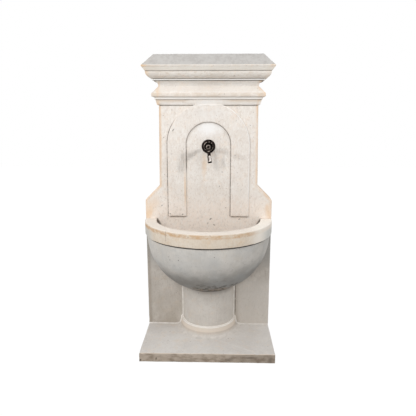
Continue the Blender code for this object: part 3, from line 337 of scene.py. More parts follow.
BASE_LOW, BASE_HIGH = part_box("base_slab")
BASE_TOP = 0.05
stone, x, y, z = limestone("base_limestone", (220, 216, 211), (203, 197, 191), (222, 208, 192))
front = y.rise(BASE_LOW.y + 0.004, BASE_LOW.y + 0.001)
soil = stone.cloud(0.05, 4.0, 0.65, 2.0, 8.0).rise(0.4, 0.66)
stone.stain((178, 162, 144), front * 0.85)
stone.stain((112, 94, 76), front * soil * 0.6)
stone.stain((96, 84, 72), front * x.rise(0.06, 0.2) * 0.3)
stone.marks(
    (74, 62, 50),
    front,
    (-0.262, 0.019, 80.0, 0.012, 0.006, 0.9),
    (-0.347, 0.008, 50.0, 0.014, 0.008, 0.9),
    (0.115, 0.018, 20.0, 0.04, 0.016, 0.5),
    (0.225, 0.03, 0.0, 0.05, 0.007, 0.6),
    (-0.1, 0.012, 0.0, 0.05, 0.01, 0.35),
    (0.325, 0.02, 70.0, 0.025, 0.016, 0.5),
)
stone.stain((242, 228, 212), z.between(0.047, 0.054, 0.002) * front * 0.8)

corners = [(BASE_LOW.x, BASE_LOW.y), (BASE_HIGH.x, BASE_LOW.y), (BASE_HIGH.x, BASE_HIGH.y), (BASE_LOW.x, BASE_HIGH.y)]
base_lines = [(0.006, 0.0)] + arris_steps(0.002, 3) + [(0.0, height) for height in (0.006, 0.018, 0.032, 0.043)]
base_lines += [(i, BASE_TOP - d) for i, d in reversed(arris_steps(0.0045))] + [(0.006, BASE_TOP)]
base_shape = block(stepped(corners, 0.008), base_lines)
base = carved(
    "base_stone", base_shape, stone.paint(), "fountain", "grey_limestone", "base_slab",
    wear=(0.0012, 0.0003)
)
drain_hole = drum("drain_hole", 0.0225, (0, DRAIN_Y, -0.02), (0, DRAIN_Y, 0.07))
inlet_hole = drum("inlet_hole", 0.0084, (0, INLET_Y, -0.02), (0, INLET_Y, 0.07), 32)
bored(base, drain_hole, inlet_hole)


# Mortar: lime and fine sand, pressed into the joints and struck off with a wet sponge.
# The beds lie just inside the stones' faces. Where the back stands on the base, the mason has drawn
# a small fillet of the same mortar along the corner. It has dried paler than the stone, and its colour
# is made paler still as painted light against the shade in the corner.
def lime_mortar(name, pale, deep):
    mortar = Finish(name, pale, roughness=0.95)
    sand = mortar.cloud(0.0016, 2.0, 0.7)
    mortar.stain(deep, mortar.cloud(0.03, 4.0, 0.6).rise(0.38, 0.66))
    mortar.stain(deep, sand.rise(0.48, 0.72) * 0.4)
    mortar.relief(sand, 0.0005, 0.8)
    mortar.relief(mortar.cloud(0.009, 3.0), 0.0012, 0.6)
    return mortar.paint()


def dress(material, *nodes):
    """Gives CAD solids that stay as they are a material."""
    for name in nodes:
        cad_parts[name].material_slots[0].material = material


bed_mortar = lime_mortar("bed_mortar", (176, 168, 156), (140, 130, 118))
dress(bed_mortar, "base_bed", "slab_bed", "frieze_bed", "cap_bed", "pedestal_bed", "bowl_bed", "rim_bed")
dress(bed_mortar, "basin_back_joint")


def pressed(name, rings, mortar):
    """A run of mortar, skinned over its sections."""
    return carved(name, bar(rings), mortar, "fountain", "lime_mortar", flat_under=50.0)


def struck_fillet(name, corner_line, reach, rise, mortar, shift=0.0):
    """A three-sided bead of mortar in a corner: at each point a place, the way out and the way up the other face."""
    rings = []
    for place, out, up in corner_line:
        size = 1.0 + 0.25 * noise.noise(Vector(place) * 22.0 + Vector((shift, 0.0, 0.0)))
        place, out, up = Vector(place), Vector(out) * reach * size, Vector(up) * rise * size
        curve = [place + out * (1 - sin(a)) + up * (1 - cos(a)) for a in (0.0, 0.4, 0.8, 1.2, pi / 2)]
        rings.append([place - out * 0.15 - up * 0.15, *curve])
    return pressed(name, rings, mortar)


FOOT_CORNER = []
for i in range(121):
    across = -0.347 + 0.694 * i / 120
    heaped = 1.0 + 0.9 * exp(-(((abs(across) - 0.176) / 0.014) ** 2))
    FOOT_CORNER.append(((across, FACE + 0.0002, 0.0505), (0.0, -heaped, 0.0), (0.0, 0.0, heaped)))
fillet_mortar = lime_mortar("fillet_mortar", (240, 236, 230), (220, 214, 206))
struck_fillet("base_fillet", FOOT_CORNER, 0.0055, 0.0065, fillet_mortar)


# The lower back slab: grey limestone on edge, 110 mm thick, bedded on the base and pinned to it.
# It stands in the shade of the basin and takes the splashes, so it is greyer than the stone above; shade and light
# are also painted on its face.
# A chase for the pipe runs up the middle of its back.
CHASE_HALF = 0.025
CHASE_FLOOR = FACE + 0.058
stone, x, y, z = limestone("lower_limestone", (209, 202, 193), (183, 174, 164), (208, 192, 174))
stone.stain((170, 158, 146), stone.cloud(0.01, 4.0, 0.7, 0.4, 23.0).rise(0.5, 0.66) * 0.35)
splash = z.rise(0.3, 0.08) * stone.cloud(0.11, 4.0, 0.6, 0.5, 2.0).rise(0.38, 0.62)
stone.stain((178, 168, 154), splash * 0.5)
# painted shade: grey on the slab's face beside the top of the bowl, where the bowl shades it
shade_beside_bowl = abs(x).rise(0.24, 0.31) * z.rise(0.36, 0.52) * y.rise(FACE + 0.045, FACE + 0.01)
stone.stain((172, 173, 171), shade_beside_bowl * 0.8)
on_front = y.rise(FACE + 0.004, FACE + 0.001)
# painted light: paler on the slab inside the basin, against the shade the basin casts there
stone.stain((243, 234, 224), abs(x).rise(0.29, 0.284) * z.rise(0.55, 0.58) * on_front * 0.85)
# painted light: paler low on the right, against the shadow of the pedestal
stone.stain((226, 220, 212), x.rise(0.15, 0.19) * z.rise(0.36, 0.28) * on_front * 0.45)
# painted shadow of the bowl, cast to the right on the slab, with a diagonal edge
bowl_shadow_edge = z - 0.176 - x * 0.674
stone.stain((152, 144, 135), bowl_shadow_edge.rise(-0.015, 0.022) * x.rise(0.15, 0.18) * on_front * 0.32)
stone.stain((150, 138, 124), x.rise(-0.322, -0.34) * on_front * 0.5)
# painted shadow: a dark brown line on the slab just right of the right-hand mortar strip
shadow_beside_strip = x.between(0.1515, 0.159, 0.0012) * z.between(0.12, 0.31, 0.012)
shadow_beside_strip = shadow_beside_strip * on_front * stone.cloud(0.02, 3.0, 0.6).rise(0.3, 0.5)
stone.stain((110, 96, 82), shadow_beside_strip * 0.7)
arris = arris_steps(0.005)
lower_plan = [(-HALF + d, FACE + i) for i, d in arris] + [(HALF - i, FACE + d) for i, d in arris]
lower_plan += [(HALF, BACK), (CHASE_HALF, BACK), (CHASE_HALF, CHASE_FLOOR)]
lower_plan += [(-CHASE_HALF, CHASE_FLOOR), (-CHASE_HALF, BACK), (-HALF, BACK)]
lower_lines = [(i, 0.052 + d) for i, d in arris_steps(0.0015, 2)]
lower_lines += [(0.0, 0.056 + 0.5545 * i / 26) for i in range(27)]
lower_lines += [(i, 0.615 - d) for i, d in reversed(arris_steps(0.0015, 2))]
lower_shape = block(stepped(lower_plan, 0.012), lower_lines)
carved(
    "lower_slab_stone", lower_shape, stone.paint(), "fountain", "grey_limestone", "lower_back_slab",
    wear=(0.001, 0.00035, 3.0)
)


# The pedestal: half a column of grey limestone with a foot ring, hollow for the waste pipe.
# It stands on the base against the back slab, and a line of pale mortar runs down both its sides.
def sawn(shape, place, way):
    """Cuts off what lies beyond a plane and closes the cut."""
    everything = shape.verts[:] + shape.edges[:] + shape.faces[:]
    bmesh.ops.bisect_plane(shape, geom=everything, plane_co=place, plane_no=way, clear_outer=True)
    bmesh.ops.remove_doubles(shape, verts=shape.verts, dist=MERGE)
    bmesh.ops.edgeloop_fill(shape, edges=[edge for edge in shape.edges if edge.is_boundary])


def half_turned(profile, steps, closed=False):
    """Turns a profile of (radius, height) half round the middle of the back's face, and saws it off before it."""
    shape = bmesh.new()
    rings = []
    for angle in (pi + pi * i / steps for i in range(steps + 1)):
        rings.append(ring_of(shape, [(r * cos(angle), FACE + r * sin(angle), h) for r, h in profile]))
    skin(shape, rings, closed=closed)
    bmesh.ops.remove_doubles(shape, verts=shape.verts, dist=MERGE)
    sawn(shape, (0, FACE - 0.002, 0), (0, 1, 0))
    return shape


def eased(points, radius, steps=3):
    """Rounds the sharp corners of a run of points."""
    points = [Vector(p) for p in points]
    out = [points[0]]
    for before, here, after in zip(points, points[1:], points[2:]):
        back, ahead = before - here, after - here
        reach = min(radius, back.length * 0.45, ahead.length * 0.45)
        if pi - back.angle(ahead) < 0.3:
            out.append(here)
            continue
        start, end = here + back.normalized() * reach, here + ahead.normalized() * reach
        for i in range(steps + 1):
            t = i / steps
            out.append(start * (1 - t) ** 2 + here * 2 * t * (1 - t) + end * t**2)
    return out + [points[-1]]


def spread_out(points, step):
    """The same run with points no further apart than a step."""
    return stepped([Vector(p) for p in points], step, closed=False)


stone, x, y, z = limestone("pedestal_limestone", (215, 209, 201), (195, 187, 178), (217, 201, 183))
PEDESTAL_RADIUS, PEDESTAL_HEAD = 0.145, 0.3127
PEDESTAL_RUN = [(PEDESTAL_RADIUS, PEDESTAL_HEAD), (PEDESTAL_RADIUS, 0.1072), (0.1462, 0.1062), (0.1528, 0.1058)]
PEDESTAL_RUN += [(0.1543, 0.1038), (0.155, 0.096), (0.1557, 0.087), (0.1568, 0.079), (0.1586, 0.0715)]
PEDESTAL_RUN += [(0.1612, 0.0655), (0.1645, 0.0605), (0.1682, 0.057), (0.1686, 0.052)]
# painted highlight: near white along the foot ring's top ledge
stone.stain((248, 243, 236), z.between(0.1005, 0.109, 0.0012) * 0.75)
# painted shade: a darker band on the face of the ring below its ledge
stone.stain((204, 184, 164), z.rise(0.098, 0.078) * z.rise(0.062, 0.074) * 0.35)
stone.stain((244, 230, 214), z.between(0.078, 0.101, 0.004) * 0.55)
# painted shadow of the bowl on the head of the pedestal, from the middle to the right
stone.stain((112, 102, 92), z.rise(0.285, PEDESTAL_HEAD) * x.rise(-0.1, 0.0) * 0.4)
PEDESTAL_PROFILE = [(0.0, PEDESTAL_HEAD)] + spread_out(eased(PEDESTAL_RUN, 0.0016), 0.012) + [(0.0, 0.052)]
pedestal_shape = half_turned(PEDESTAL_PROFILE, 72)
pedestal = carved(
    "pedestal_stone", pedestal_shape, stone.paint(), "fountain", "grey_limestone", "pedestal",
    wear=(0.0009, 0.0004, 5.0)
)
bored(pedestal, drum("pedestal_bore", 0.05, (0, DRAIN_Y, 0.0), (0, DRAIN_Y, 0.5), 64))

# the strips' mortar is pale, made paler still as painted light against the shade in the corners beside the column
strip_mortar = lime_mortar("strip_mortar", (246, 242, 236), (228, 222, 214))
strip_run = [(PEDESTAL_RADIUS, 0.311), (PEDESTAL_RADIUS, 0.112), (0.147, 0.107), (0.1535, 0.104), (0.155, 0.085)]
strip_run += [(0.16, 0.066), (0.168, 0.0565)]
for side, name in ((-1, "left"), (1, "right")):
    line = []
    for radius, height in spread_out(strip_run, 0.01):
        line.append(((side * radius, FACE - 0.0003, height), (side * 1.0, 0.0, 0.0), (0.0, -1.0, 0.0)))
    strip = struck_fillet(f"pedestal_strip_{name}", line, 0.0072, 0.0068, strip_mortar, shift=9.0 * side)
    if side < 0:
        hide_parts("pedestal_pointing")

# the soft cove at the foot of the ring, where the bed was pressed out and smoothed with a finger
COVE_SECTION = [(0.165, 0.052), (0.166, 0.059), (0.1682, 0.057), (0.1712, 0.055), (0.1745, 0.0533)]
COVE_SECTION += [(0.178, 0.0519), (0.1815, 0.0509), (0.185, 0.0502), (0.1852, 0.0496), (0.17, 0.0496)]
cove_rings = []
for i in range(121):
    angle = pi * (1.008 + 0.984 * i / 120)
    swell = 1.0 + 0.01 * noise.noise(Vector((i * 0.11, 4.0, 0.0)))
    section = [(r * swell if r > 0.168 else r, z) for r, z in COVE_SECTION]
    cove_rings.append([(r * cos(angle), FACE + r * sin(angle), z) for r, z in section])
pressed("pedestal_cove", cove_rings, lime_mortar("cove_mortar", (220, 214, 207), (204, 198, 191)))


# The basin's bowl: half a bowl of grey limestone, turned and rubbed smooth, and always damp.
# It sits on the pedestal and is pinned and mortared to the back slab. Damp has stained it blue-grey in patches,
# with a little rust colour low on the right. Shade is painted into it: darker towards its foot and to the right,
# near black along its lower edge, and in a dark line, with dirt, under the rim.
stone, x, y, z = limestone("bowl_limestone", (217, 212, 205), (196, 192, 186), (208, 199, 186), 1.6)
# painted shade: darker towards the foot and to the right, as the light falls
low_down = z.rise(0.56, 0.35)
painted_bowl_shade = low_down + (stone.cloud(0.06, 6.0, 0.7, 1.3, 1.0) - 0.5) * 0.5
to_right = x.rise(0.05, 0.3)
painted_bowl_shade = painted_bowl_shade + to_right * 0.35
stone.stain((116, 113, 108), painted_bowl_shade.rise(0.03, 0.95) * 0.84)
damp = stone.cloud(0.16, 3.0, 0.5, 1.4, 12.0).rise(0.4, 0.65)
stone.stain((176, 180, 182), damp * 0.3)
rust = x.rise(-0.14, -0.05) * z.rise(0.37, 0.33)
rust = rust * stone.cloud(0.04, 4.0, 0.6).rise(0.42, 0.6) * 0.6
stone.stain((168, 140, 110), rust)
# painted shade: near black along the bowl's lower edge, deepest on the right
stone.stain((26, 21, 18), z.rise(0.327, 0.3165) * (0.45 + x.rise(-0.06, 0.08) * 0.55) * 0.92)
eaten = stone.cells(0.03, 1.6, 3.0) + (stone.cloud(0.012, 4.0, 0.7) - 0.5) * 1.4
eaten = eaten.rise(0.42, 0.3) * z.rise(0.42, 0.35) * abs(x - 0.055).rise(0.15, 0.09)
stone.stain((58, 48, 38), eaten * 0.7)
stone.relief(eaten * -1.0, 0.0025, 0.8)
# dirt and painted shade: a dark line on the bowl's head, under the rim's overhang
stone.stain((52, 46, 40), z.rise(0.6078, 0.609) * abs(x).rise(0.3, 0.25) * 0.85)
BOWL_HEAD = 0.615
INSIDE, INSIDE_DROP = 0.285, 0.232  # half-width and depth of the hollow
OUTSIDE, OUTSIDE_DROP = 0.34, 0.332  # the same for the outer face
bowl_inside = [(0.0, BOWL_HEAD - INSIDE_DROP)]
for turn in (pi / 2 * (1 - i / 30) for i in range(1, 31)):
    bowl_inside.append((INSIDE * cos(turn), BOWL_HEAD - INSIDE_DROP * sin(turn)))
bowl_outside = [(0.335, BOWL_HEAD), (0.335, 0.6105), (0.3385, 0.6088)]
last = acos(PEDESTAL_RADIUS / OUTSIDE)
for turn in (last * i / 30 for i in range(1, 31)):
    bowl_outside.append((OUTSIDE * cos(turn), BOWL_HEAD - OUTSIDE_DROP * sin(turn)))
bowl_run = bowl_inside + spread_out([(INSIDE, BOWL_HEAD), (0.335, BOWL_HEAD)], 0.01)[1:-1] + bowl_outside
bowl_run += [(radius, bowl_outside[-1][1]) for radius in (0.1, 0.05, 0.0)]
bowl_shape = half_turned(bowl_run, 112)
bowl = carved(
    "bowl_stone", bowl_shape, stone.paint(), "fountain", "grey_limestone", "basin_bowl",
    wear=(0.0006, 0.0007, 7.0)
)
waste_seat = drum("waste_seat", 0.0355, (0, DRAIN_Y, 0.38), (0, DRAIN_Y, 0.6), 64)
waste_hole = drum("waste_hole", 0.0216, (0, DRAIN_Y, 0.2), (0, DRAIN_Y, 0.5), 64)
bored(bowl, waste_seat, waste_hole)


# The basin's rim: a half ring of warm limestone on the bowl, a finger's breadth wider, with soft arrises.
# Its top is bleached. A brown streak follows the outer arris, and a hairline crack runs down the left.
stone, x, y, z = limestone("rim_limestone", (230, 218, 202), (216, 200, 180), (224, 196, 162))
stone.stain((206, 184, 160), stone.cloud(0.01, 4.0, 0.7, 0.7, 24.0).rise(0.5, 0.66) * 0.35)
stone.stain((238, 230, 221), z.rise(0.6835, 0.6862) * 0.85)
streak = z.between(0.664, 0.682, 0.005)
streak = streak * stone.cloud(0.05, 5.0, 0.7, 2.4, 4.0).rise(0.36, 0.58)
stone.stain((204, 164, 120), streak * 0.8)
rim_radius = (x * x + (y - FACE) * (y - FACE)).root()
# painted light: paler towards the right end of the rim
stone.stain((252, 246, 237), x.rise(0.19, 0.27) * 0.75)
washed_end = abs(x).rise(0.262, 0.322) * (z + stone.cloud(0.03, 3.0) * 0.02).rise(0.684, 0.664)
stone.stain((198, 199, 196), washed_end * 0.75)
# dirt and painted shade on the rim's inner face towards its ends, where it meets the back
stone.stain((74, 58, 44), rim_radius.rise(0.2895, 0.287) * y.rise(-0.02, 0.085) * z.rise(0.6862, 0.683) * 0.8)
wander = (stone.cloud(0.02, 2.0, shift=2.5) - 0.5) * 0.01
off_crack = abs(x + 0.205 + wander)
crack = off_crack.rise(0.0012, 0.0004) * z.rise(0.628, 0.64)
crack = crack * y.rise(-0.06, -0.1) * z.rise(0.687, 0.683)
stone.stain((140, 106, 78), crack * 0.75)
stone.relief(crack * -1.0, 0.002, 0.8)
RIM_TOP, RIM_SOLE, RIM_INSIDE, ROUND = 0.687, 0.617, 0.2855, 0.005
rim_run = [(RIM_INSIDE + ROUND * (1 - cos(a)), RIM_TOP - ROUND * (1 - sin(a))) for a in quarter(4)]
rim_run += [(radius, RIM_TOP) for radius in (0.3, 0.312, 0.324, 0.336)]
rim_run += [(HALF - ROUND * (1 - sin(a)), RIM_TOP - ROUND * (1 - cos(a))) for a in quarter(4)]
rim_run += [(HALF, 0.672), (HALF, 0.655), (HALF, 0.638), (HALF, 0.625), (0.3492, 0.6178), (0.3484, RIM_SOLE)]
rim_run += [(0.33, RIM_SOLE), (0.3, RIM_SOLE)] + [(RIM_INSIDE, height) for height in (RIM_SOLE, 0.64, 0.662)]
rim_shape = half_turned(rim_run, 128, closed=True)
carved("rim_stone", rim_shape, stone.paint(), "fountain", "warm_limestone", "basin_rim", wear=(0.0016, 0.0005, 9.0))


# The seam in the basin: inside the rim, the joint between the two back slabs is packed flush with
# fine pale mortar to keep the water in, and wiped level with the stone.
seam_rings = []
for across in (0.282 * (i / 40 - 1) for i in range(81)):
    swell = 0.0003 * noise.noise(Vector((across * 30.0, 0.0, 0.0)))
    section = [(0.124, 0.606), (0.1199, 0.605), (0.1193 - swell, 0.608), (0.1191 - swell, 0.613)]
    section += [(0.1193 - swell, 0.6178), (0.1199, 0.6196), (0.124, 0.619)]
    seam_rings.append([(across, y, z) for y, z in section])
# the seam's mortar is pale, made paler still as painted light against the shade low in the basin
pressed("seam_in_basin", seam_rings, lime_mortar("seam_mortar", (252, 241, 229), (242, 230, 218)))


# The waste and the overflow: a brass waste through the bottom of the bowl, its nut and seals below,
# and a grey plastic drain down through the pedestal. The overflow pipe stands loose in the waste.
# All of it is bought and screwed together by the plumber before the pipe goes in.
def in_mm(*points):
    return [(radius / 1000, height / 1000) for radius, height in points]


def turned(name, profile, place, material, body, slot, *stands_for, sides=64):
    """A piece turned about its own Z. A profile that ends off the axis is closed into a ring."""
    shape = bmesh.new()
    turns = [2 * pi * i / sides for i in range(sides)]
    rings = [ring_of(shape, [(r * cos(a), r * sin(a), h) for r, h in profile]) for a in turns]
    skin(shape, rings + rings[:1], closed=profile[0][0] > 0 and profile[-1][0] > 0)
    bmesh.ops.remove_doubles(shape, verts=shape.verts, dist=MERGE)
    shape.transform(place)
    return carved(name, shape, material, body, slot, *stands_for, flat_under=35.0)


def metal(name, bright, dull, roughness, grime_and_shade=0.3, painted_light=None):
    """Metal with a cloudy tarnish and fine scratches. The last argument, if given, paints highlights and shade onto
    its colour.
    """
    finish = Finish(name, bright, roughness, 1.0)
    finish.stain(dull, finish.cloud(0.012, 4.0, 0.65).rise(0.35, 0.65))
    finish.relief(finish.cloud(0.0012, 2.0, 0.7, 0.15), 0.00008, 0.5)
    if painted_light:
        painted_light(finish)
    return finish.paint(Roughness=finish.cloud(0.006, 3.0) * grime_and_shade + (roughness - 0.05))


def moulded(name, colour, roughness):
    """Rubber or plastic with the faint orange-peel of its mould."""
    finish = Finish(name, colour, roughness)
    dusty = tuple(min(1.0, c * 1.35 + 0.01) for c in srgb(*colour))
    finish.tint(dusty, finish.cloud(0.02, 4.0).rise(0.4, 0.7))
    finish.relief(finish.cloud(0.0015, 2.0), 0.0001, 0.5)
    return finish.paint()


brass = metal("brass", (208, 178, 112), (158, 128, 76), 0.28)
copper = metal("copper", (206, 138, 106), (140, 92, 70), 0.32)
stainless = metal("stainless", (200, 200, 200), (158, 158, 160), 0.3)
rubber = moulded("rubber", (38, 38, 40), 0.75)
plastic = moulded("plastic", (128, 131, 134), 0.45)
dress(plastic, "drain_pipe", "drain_coupling")
dress(rubber, "waste_gasket", "waste_seal", "standpipe_seal")
dress(brass, "waste_backnut", "waste_flange")

MOUTH_HEIGHT = 0.6265
mouth = [(0.0144, 0.0006), (0.0152, 0.0), (0.0172, 0.0), (0.0178, 0.0008), (0.0179, 0.0026), (0.0174, 0.004)]
standpipe_run = [(radius, MOUTH_HEIGHT - drop) for radius, drop in mouth + [(0.0163, 0.0052), (0.016, 0.0066)]]
standpipe_run += [(0.016, 0.4), (0.0164, 0.398)]
standpipe_run += [(0.0176, 0.3966), (0.0236, 0.3962), (0.0244, 0.3954), (0.0244, 0.392), (0.0238, 0.3913)]
standpipe_run += [(0.0176, 0.3913), (0.0172, 0.3908), (0.0172, 0.369), (0.0164, 0.3668), (0.0144, 0.3668)]
drain_place = Matrix.Translation((0.0, DRAIN_Y, 0.0))
turned("standpipe", standpipe_run, drain_place, brass, "standpipe", "brass_fitting", "overflow_standpipe")


# The upper back slab: warm limestone, 110 mm thick, pinned to the slab below behind the rim.
# Its sides turn in at 45 degrees and rise to a slightly tapered neck. The mason cut the face back 10 mm
# to leave the arch standing, then rubbed it. Iron in the bed has left an ochre band down both edges.
RISE, SPOUT_HEIGHT = 1.093, 1.085  # centre of the arch and axis of the spout
ARCH_OUT, ARCH_IN, ARCH_FOOT, RELIEF = 0.2215, 0.1215, 0.7, 0.01
SLAB_HEAD, SLAB_SOLE = 1.298, 0.617
NECK_FOOT, NECK_HEAD = 0.269, 0.2635  # half-widths of the neck
SHOULDER_LOW, SHOULDER_HIGH = 0.791, 0.872
PAST = 0.03  # how far the outline runs on at both ends before it is sawn off
SLIVER = 0.00000001  # twice the area of a triangle that only lies along a straight edge


def inside(point, loop):
    """Whether a point lies inside a closed outline."""
    within = False
    for (x1, y1), (x2, y2) in zip(loop, loop[1:] + loop[:1]):
        if (y1 > point[1]) != (y2 > point[1]) and point[0] < x1 + (point[1] - y1) * (x2 - x1) / (y2 - y1):
            within = not within
    return within


def filled(shape, outer, holes, height, step=0.012):
    """Fills between an outer ring and holes, given as rings of vertices in a plane, with even triangles."""
    loops = [[(v.co.x, v.co.z) for v in ring] for ring in (outer, *holes)]
    corners, edges, verts = [], [], []
    for ring, loop in zip((outer, *holes), loops):
        start = len(corners)
        corners += [Vector(p) for p in loop]
        verts += ring
        edges += [(start + i, start + (i + 1) % len(loop)) for i in range(len(loop))]
    low = [min(p[k] for p in loops[0]) for k in (0, 1)]
    high = [max(p[k] for p in loops[0]) for k in (0, 1)]
    edge_points = list(corners)
    rows = ceil((high[1] - low[1]) / step)
    for row in range(1, rows):
        for column in range(ceil((high[0] - low[0]) / step) + 1):
            spot = Vector((low[0] + (column + 0.5 * (row % 2)) * step, low[1] + row * step))
            if inside(spot, loops[0]) and not any(inside(spot, hole) for hole in loops[1:]):
                if min((spot - p).length_squared for p in edge_points) > (0.45 * step) ** 2:
                    corners.append(spot)
                    verts.append(shape.verts.new((spot.x, height, spot.y)))
    result = delaunay_2d_cdt(corners, edges, [], 0, 0.0000001)
    for face in result[2]:
        a, b, c = (result[0][i] for i in face)
        middle = (a + b + c) / 3
        if abs((b - a).cross(c - a)) < SLIVER or not inside(middle, loops[0]):
            continue
        if not any(inside(middle, hole) for hole in loops[1:]):
            shape.faces.new([verts[result[3][i][0]] for i in face])


def turned_corner(corner, before, after, radius, steps=6):
    """Points round a corner between two straight runs."""
    corner, before, after = Vector(corner), Vector(before), Vector(after)
    back, ahead = (before - corner).normalized(), (after - corner).normalized()
    reach = radius / tan(back.angle(ahead) / 2)
    middle = corner + (back + ahead).normalized() * radius / sin(back.angle(ahead) / 2)
    start, end = corner + back * reach - middle, corner + ahead * reach - middle
    sweep = start.angle_signed(end)
    return [middle + Matrix.Rotation(-sweep * i / steps, 2) @ start for i in range(steps + 1)]


def arc(radius, steps):
    """Half a circle about the centre of the arch, from the side that the radius points to."""
    turns = [pi * i / steps for i in range(steps + 1)]
    return [(radius * cos(a), RISE + abs(radius) * sin(a)) for a in turns]


def face_ring(shape, outline, draw_in, depth):
    return ring_of(shape, [(p.x, depth, p.y) for p in inset(outline, draw_in)])


stone, x, y, z = limestone("upper_limestone", (244, 238, 231), (229, 219, 209), (243, 224, 205))
on_face = y.rise(FACE + 0.012, FACE + 0.004)
from_middle = abs(x)
above = (z - RISE).most(0.0)
arch_radius = (above * above + from_middle * from_middle).root()
painted_light_low = z.rise(0.86, 0.7)
fine_dark = stone.cloud(0.009, 4.0, 0.7, 0.6, 21.0).rise(0.5, 0.66)
fine_pale = stone.cloud(0.011, 4.0, 0.7, 0.5, 22.0).rise(0.52, 0.66)
low_mottle = 0.65 + stone.cloud(0.018, 5.0, 0.7, shift=20.0).rise(0.38, 0.6) * 0.35
# a pinker tone and painted light low on the slab, against the shade of the basin and the arch
stone.stain((255, 242, 230), painted_light_low * low_mottle * 0.92)
stone.stain((214, 200, 186), fine_dark * 0.42)
stone.stain((255, 252, 247), fine_pale * 0.45)
crown = stone.oval(0.0, 1.18, 0.0, 0.11, 0.06) * arch_radius.rise(0.122, 0.119)
stone.stain((255, 254, 253), crown * on_face * 0.8)
greyed = stone.oval(0.0, 1.262, 0.0, 0.12, 0.05) * arch_radius.rise(0.119, 0.122)
stone.stain((232, 228, 224), greyed * on_face * 0.4)

# ochre down both outer edges and along the shoulders
neck_side = 0.2803 - z * 0.0129 - from_middle
shoulder_side = (1.141 - z - from_middle) * 0.707
from_edge = (0.35 - from_middle).least(neck_side.most(shoulder_side))
ochre_patches = 0.3 + stone.cloud(0.06, 5.0, 0.65, 0.4, 2.0).rise(0.36, 0.6) * 0.7
ochre = from_edge.rise(0.02, 0.005) * ochre_patches
stone.stain((238, 206, 172), ochre * 0.7)
stone.stain((220, 186, 150), from_edge.rise(0.016, 0.004) * x.rise(-0.2, -0.24) * z.rise(0.9, 0.97) * 0.55)
stone.marks(
    (238, 205, 168),
    on_face,
    (-0.022, 0.985, 90.0, 0.085, 0.02, 0.45),
    (-0.128, 0.85, 90.0, 0.15, 0.008, 0.6),
    (-0.33, 0.715, 75.0, 0.06, 0.028, 0.6),
    (-0.31, 0.77, 60.0, 0.08, 0.05, 0.32),
    (0.33, 0.73, 100.0, 0.07, 0.024, 0.6),
)

# grey smudges round the spout, spreading down and out to both sides
streaky = 0.6 + stone.cloud(0.007, 4.0, 0.65, 0.1, 14.0).rise(0.4, 0.62) * 0.65
stone.marks(
    (150, 142, 134),
    on_face * streaky,
    (-0.105, 1.033, 35.0, 0.05, 0.031, 0.5),
    (-0.07, 1.052, 28.0, 0.05, 0.018, 0.38),
    (-0.146, 0.99, 85.0, 0.08, 0.033, 0.46),
    (0.076, 1.056, -24.0, 0.056, 0.026, 0.38),
    (0.08, 0.997, 90.0, 0.06, 0.024, 0.3),
    (0.165, 1.03, -15.0, 0.06, 0.026, 0.2),
)

# knocks and deep pits that have filled with dirt
stone.marks(
    (96, 82, 70),
    on_face,
    (0.012, 0.684, 35.0, 0.011, 0.005, 0.75),
    (0.031, 0.65, -20.0, 0.01, 0.0045, 0.75),
    (-0.004, 0.66, 10.0, 0.008, 0.0035, 0.75),
    (0.172, 0.684, 20.0, 0.009, 0.0035, 0.75),
    (0.096, 0.748, 60.0, 0.007, 0.0035, 0.75),
    (-0.143, 0.712, 10.0, 0.007, 0.004, 0.75),
    (-0.212, 0.714, 0.0, 0.0075, 0.0035, 0.75),
    (-0.258, 0.76, 40.0, 0.0075, 0.0035, 0.75),
    (0.06, 0.868, 70.0, 0.006, 0.003, 0.75),
    (-0.188, 1.172, 50.0, 0.012, 0.0045, 0.75),
)

# dirt and painted shade on the back where the rim's inner corners meet it
corner_dirt_and_shade = ((-0.28, 0.667, -62.0, 0.046, 0.011, 0.75), (0.28, 0.667, 62.0, 0.046, 0.011, 0.75))
stone.marks((84, 68, 54), on_face * z.rise(0.69, 0.687), *corner_dirt_and_shade)

# painted shadow lines in the angles of the arch, on the edges turned away from the light, and under the jambs' feet
in_angle = y.rise(FACE - 0.0065, FACE - 0.003)
down_jambs = z.rise(0.696, 0.7)
outer_shadow_line = arch_radius.between(ARCH_OUT - 0.002, ARCH_OUT + 0.0042, 0.0012)
to_left = x.rise(0.02, -0.1)
outer_shadow_line = outer_shadow_line * to_left * z.rise(1.25, 1.17)
inner_shadow_line = arch_radius.between(ARCH_IN - 0.0036, ARCH_IN + 0.002, 0.0012)
inner_shadow_line = inner_shadow_line * x.rise(-0.05, 0.05).most(z.rise(0.93, 0.99))
foot_shadow_line = abs(z - ARCH_FOOT).rise(0.0045, 0.001) * from_middle.between(ARCH_IN, ARCH_OUT, 0.002)
at_right = 0.5 + x.rise(-0.04, 0.07) * 0.5
inner_shadow_line = inner_shadow_line * at_right.most(z.rise(RISE + 0.01, RISE - 0.03))
off_top = 0.45 + from_middle.rise(0.015, 0.07) * 0.55
inner_shadow_line = inner_shadow_line * off_top.most(z.rise(1.19, 1.17))
grime_and_shade = outer_shadow_line.most(inner_shadow_line) * down_jambs
grime_and_shade = grime_and_shade.most(foot_shadow_line) * in_angle * on_face
grime_and_shade = grime_and_shade * (0.45 + stone.cloud(0.03, 4.0, 0.7, shift=6.0).rise(0.35, 0.6) * 0.55)
# painted shade: the lines are stained dark, patchy along their length
stone.stain((96, 82, 70), grime_and_shade * 0.85)
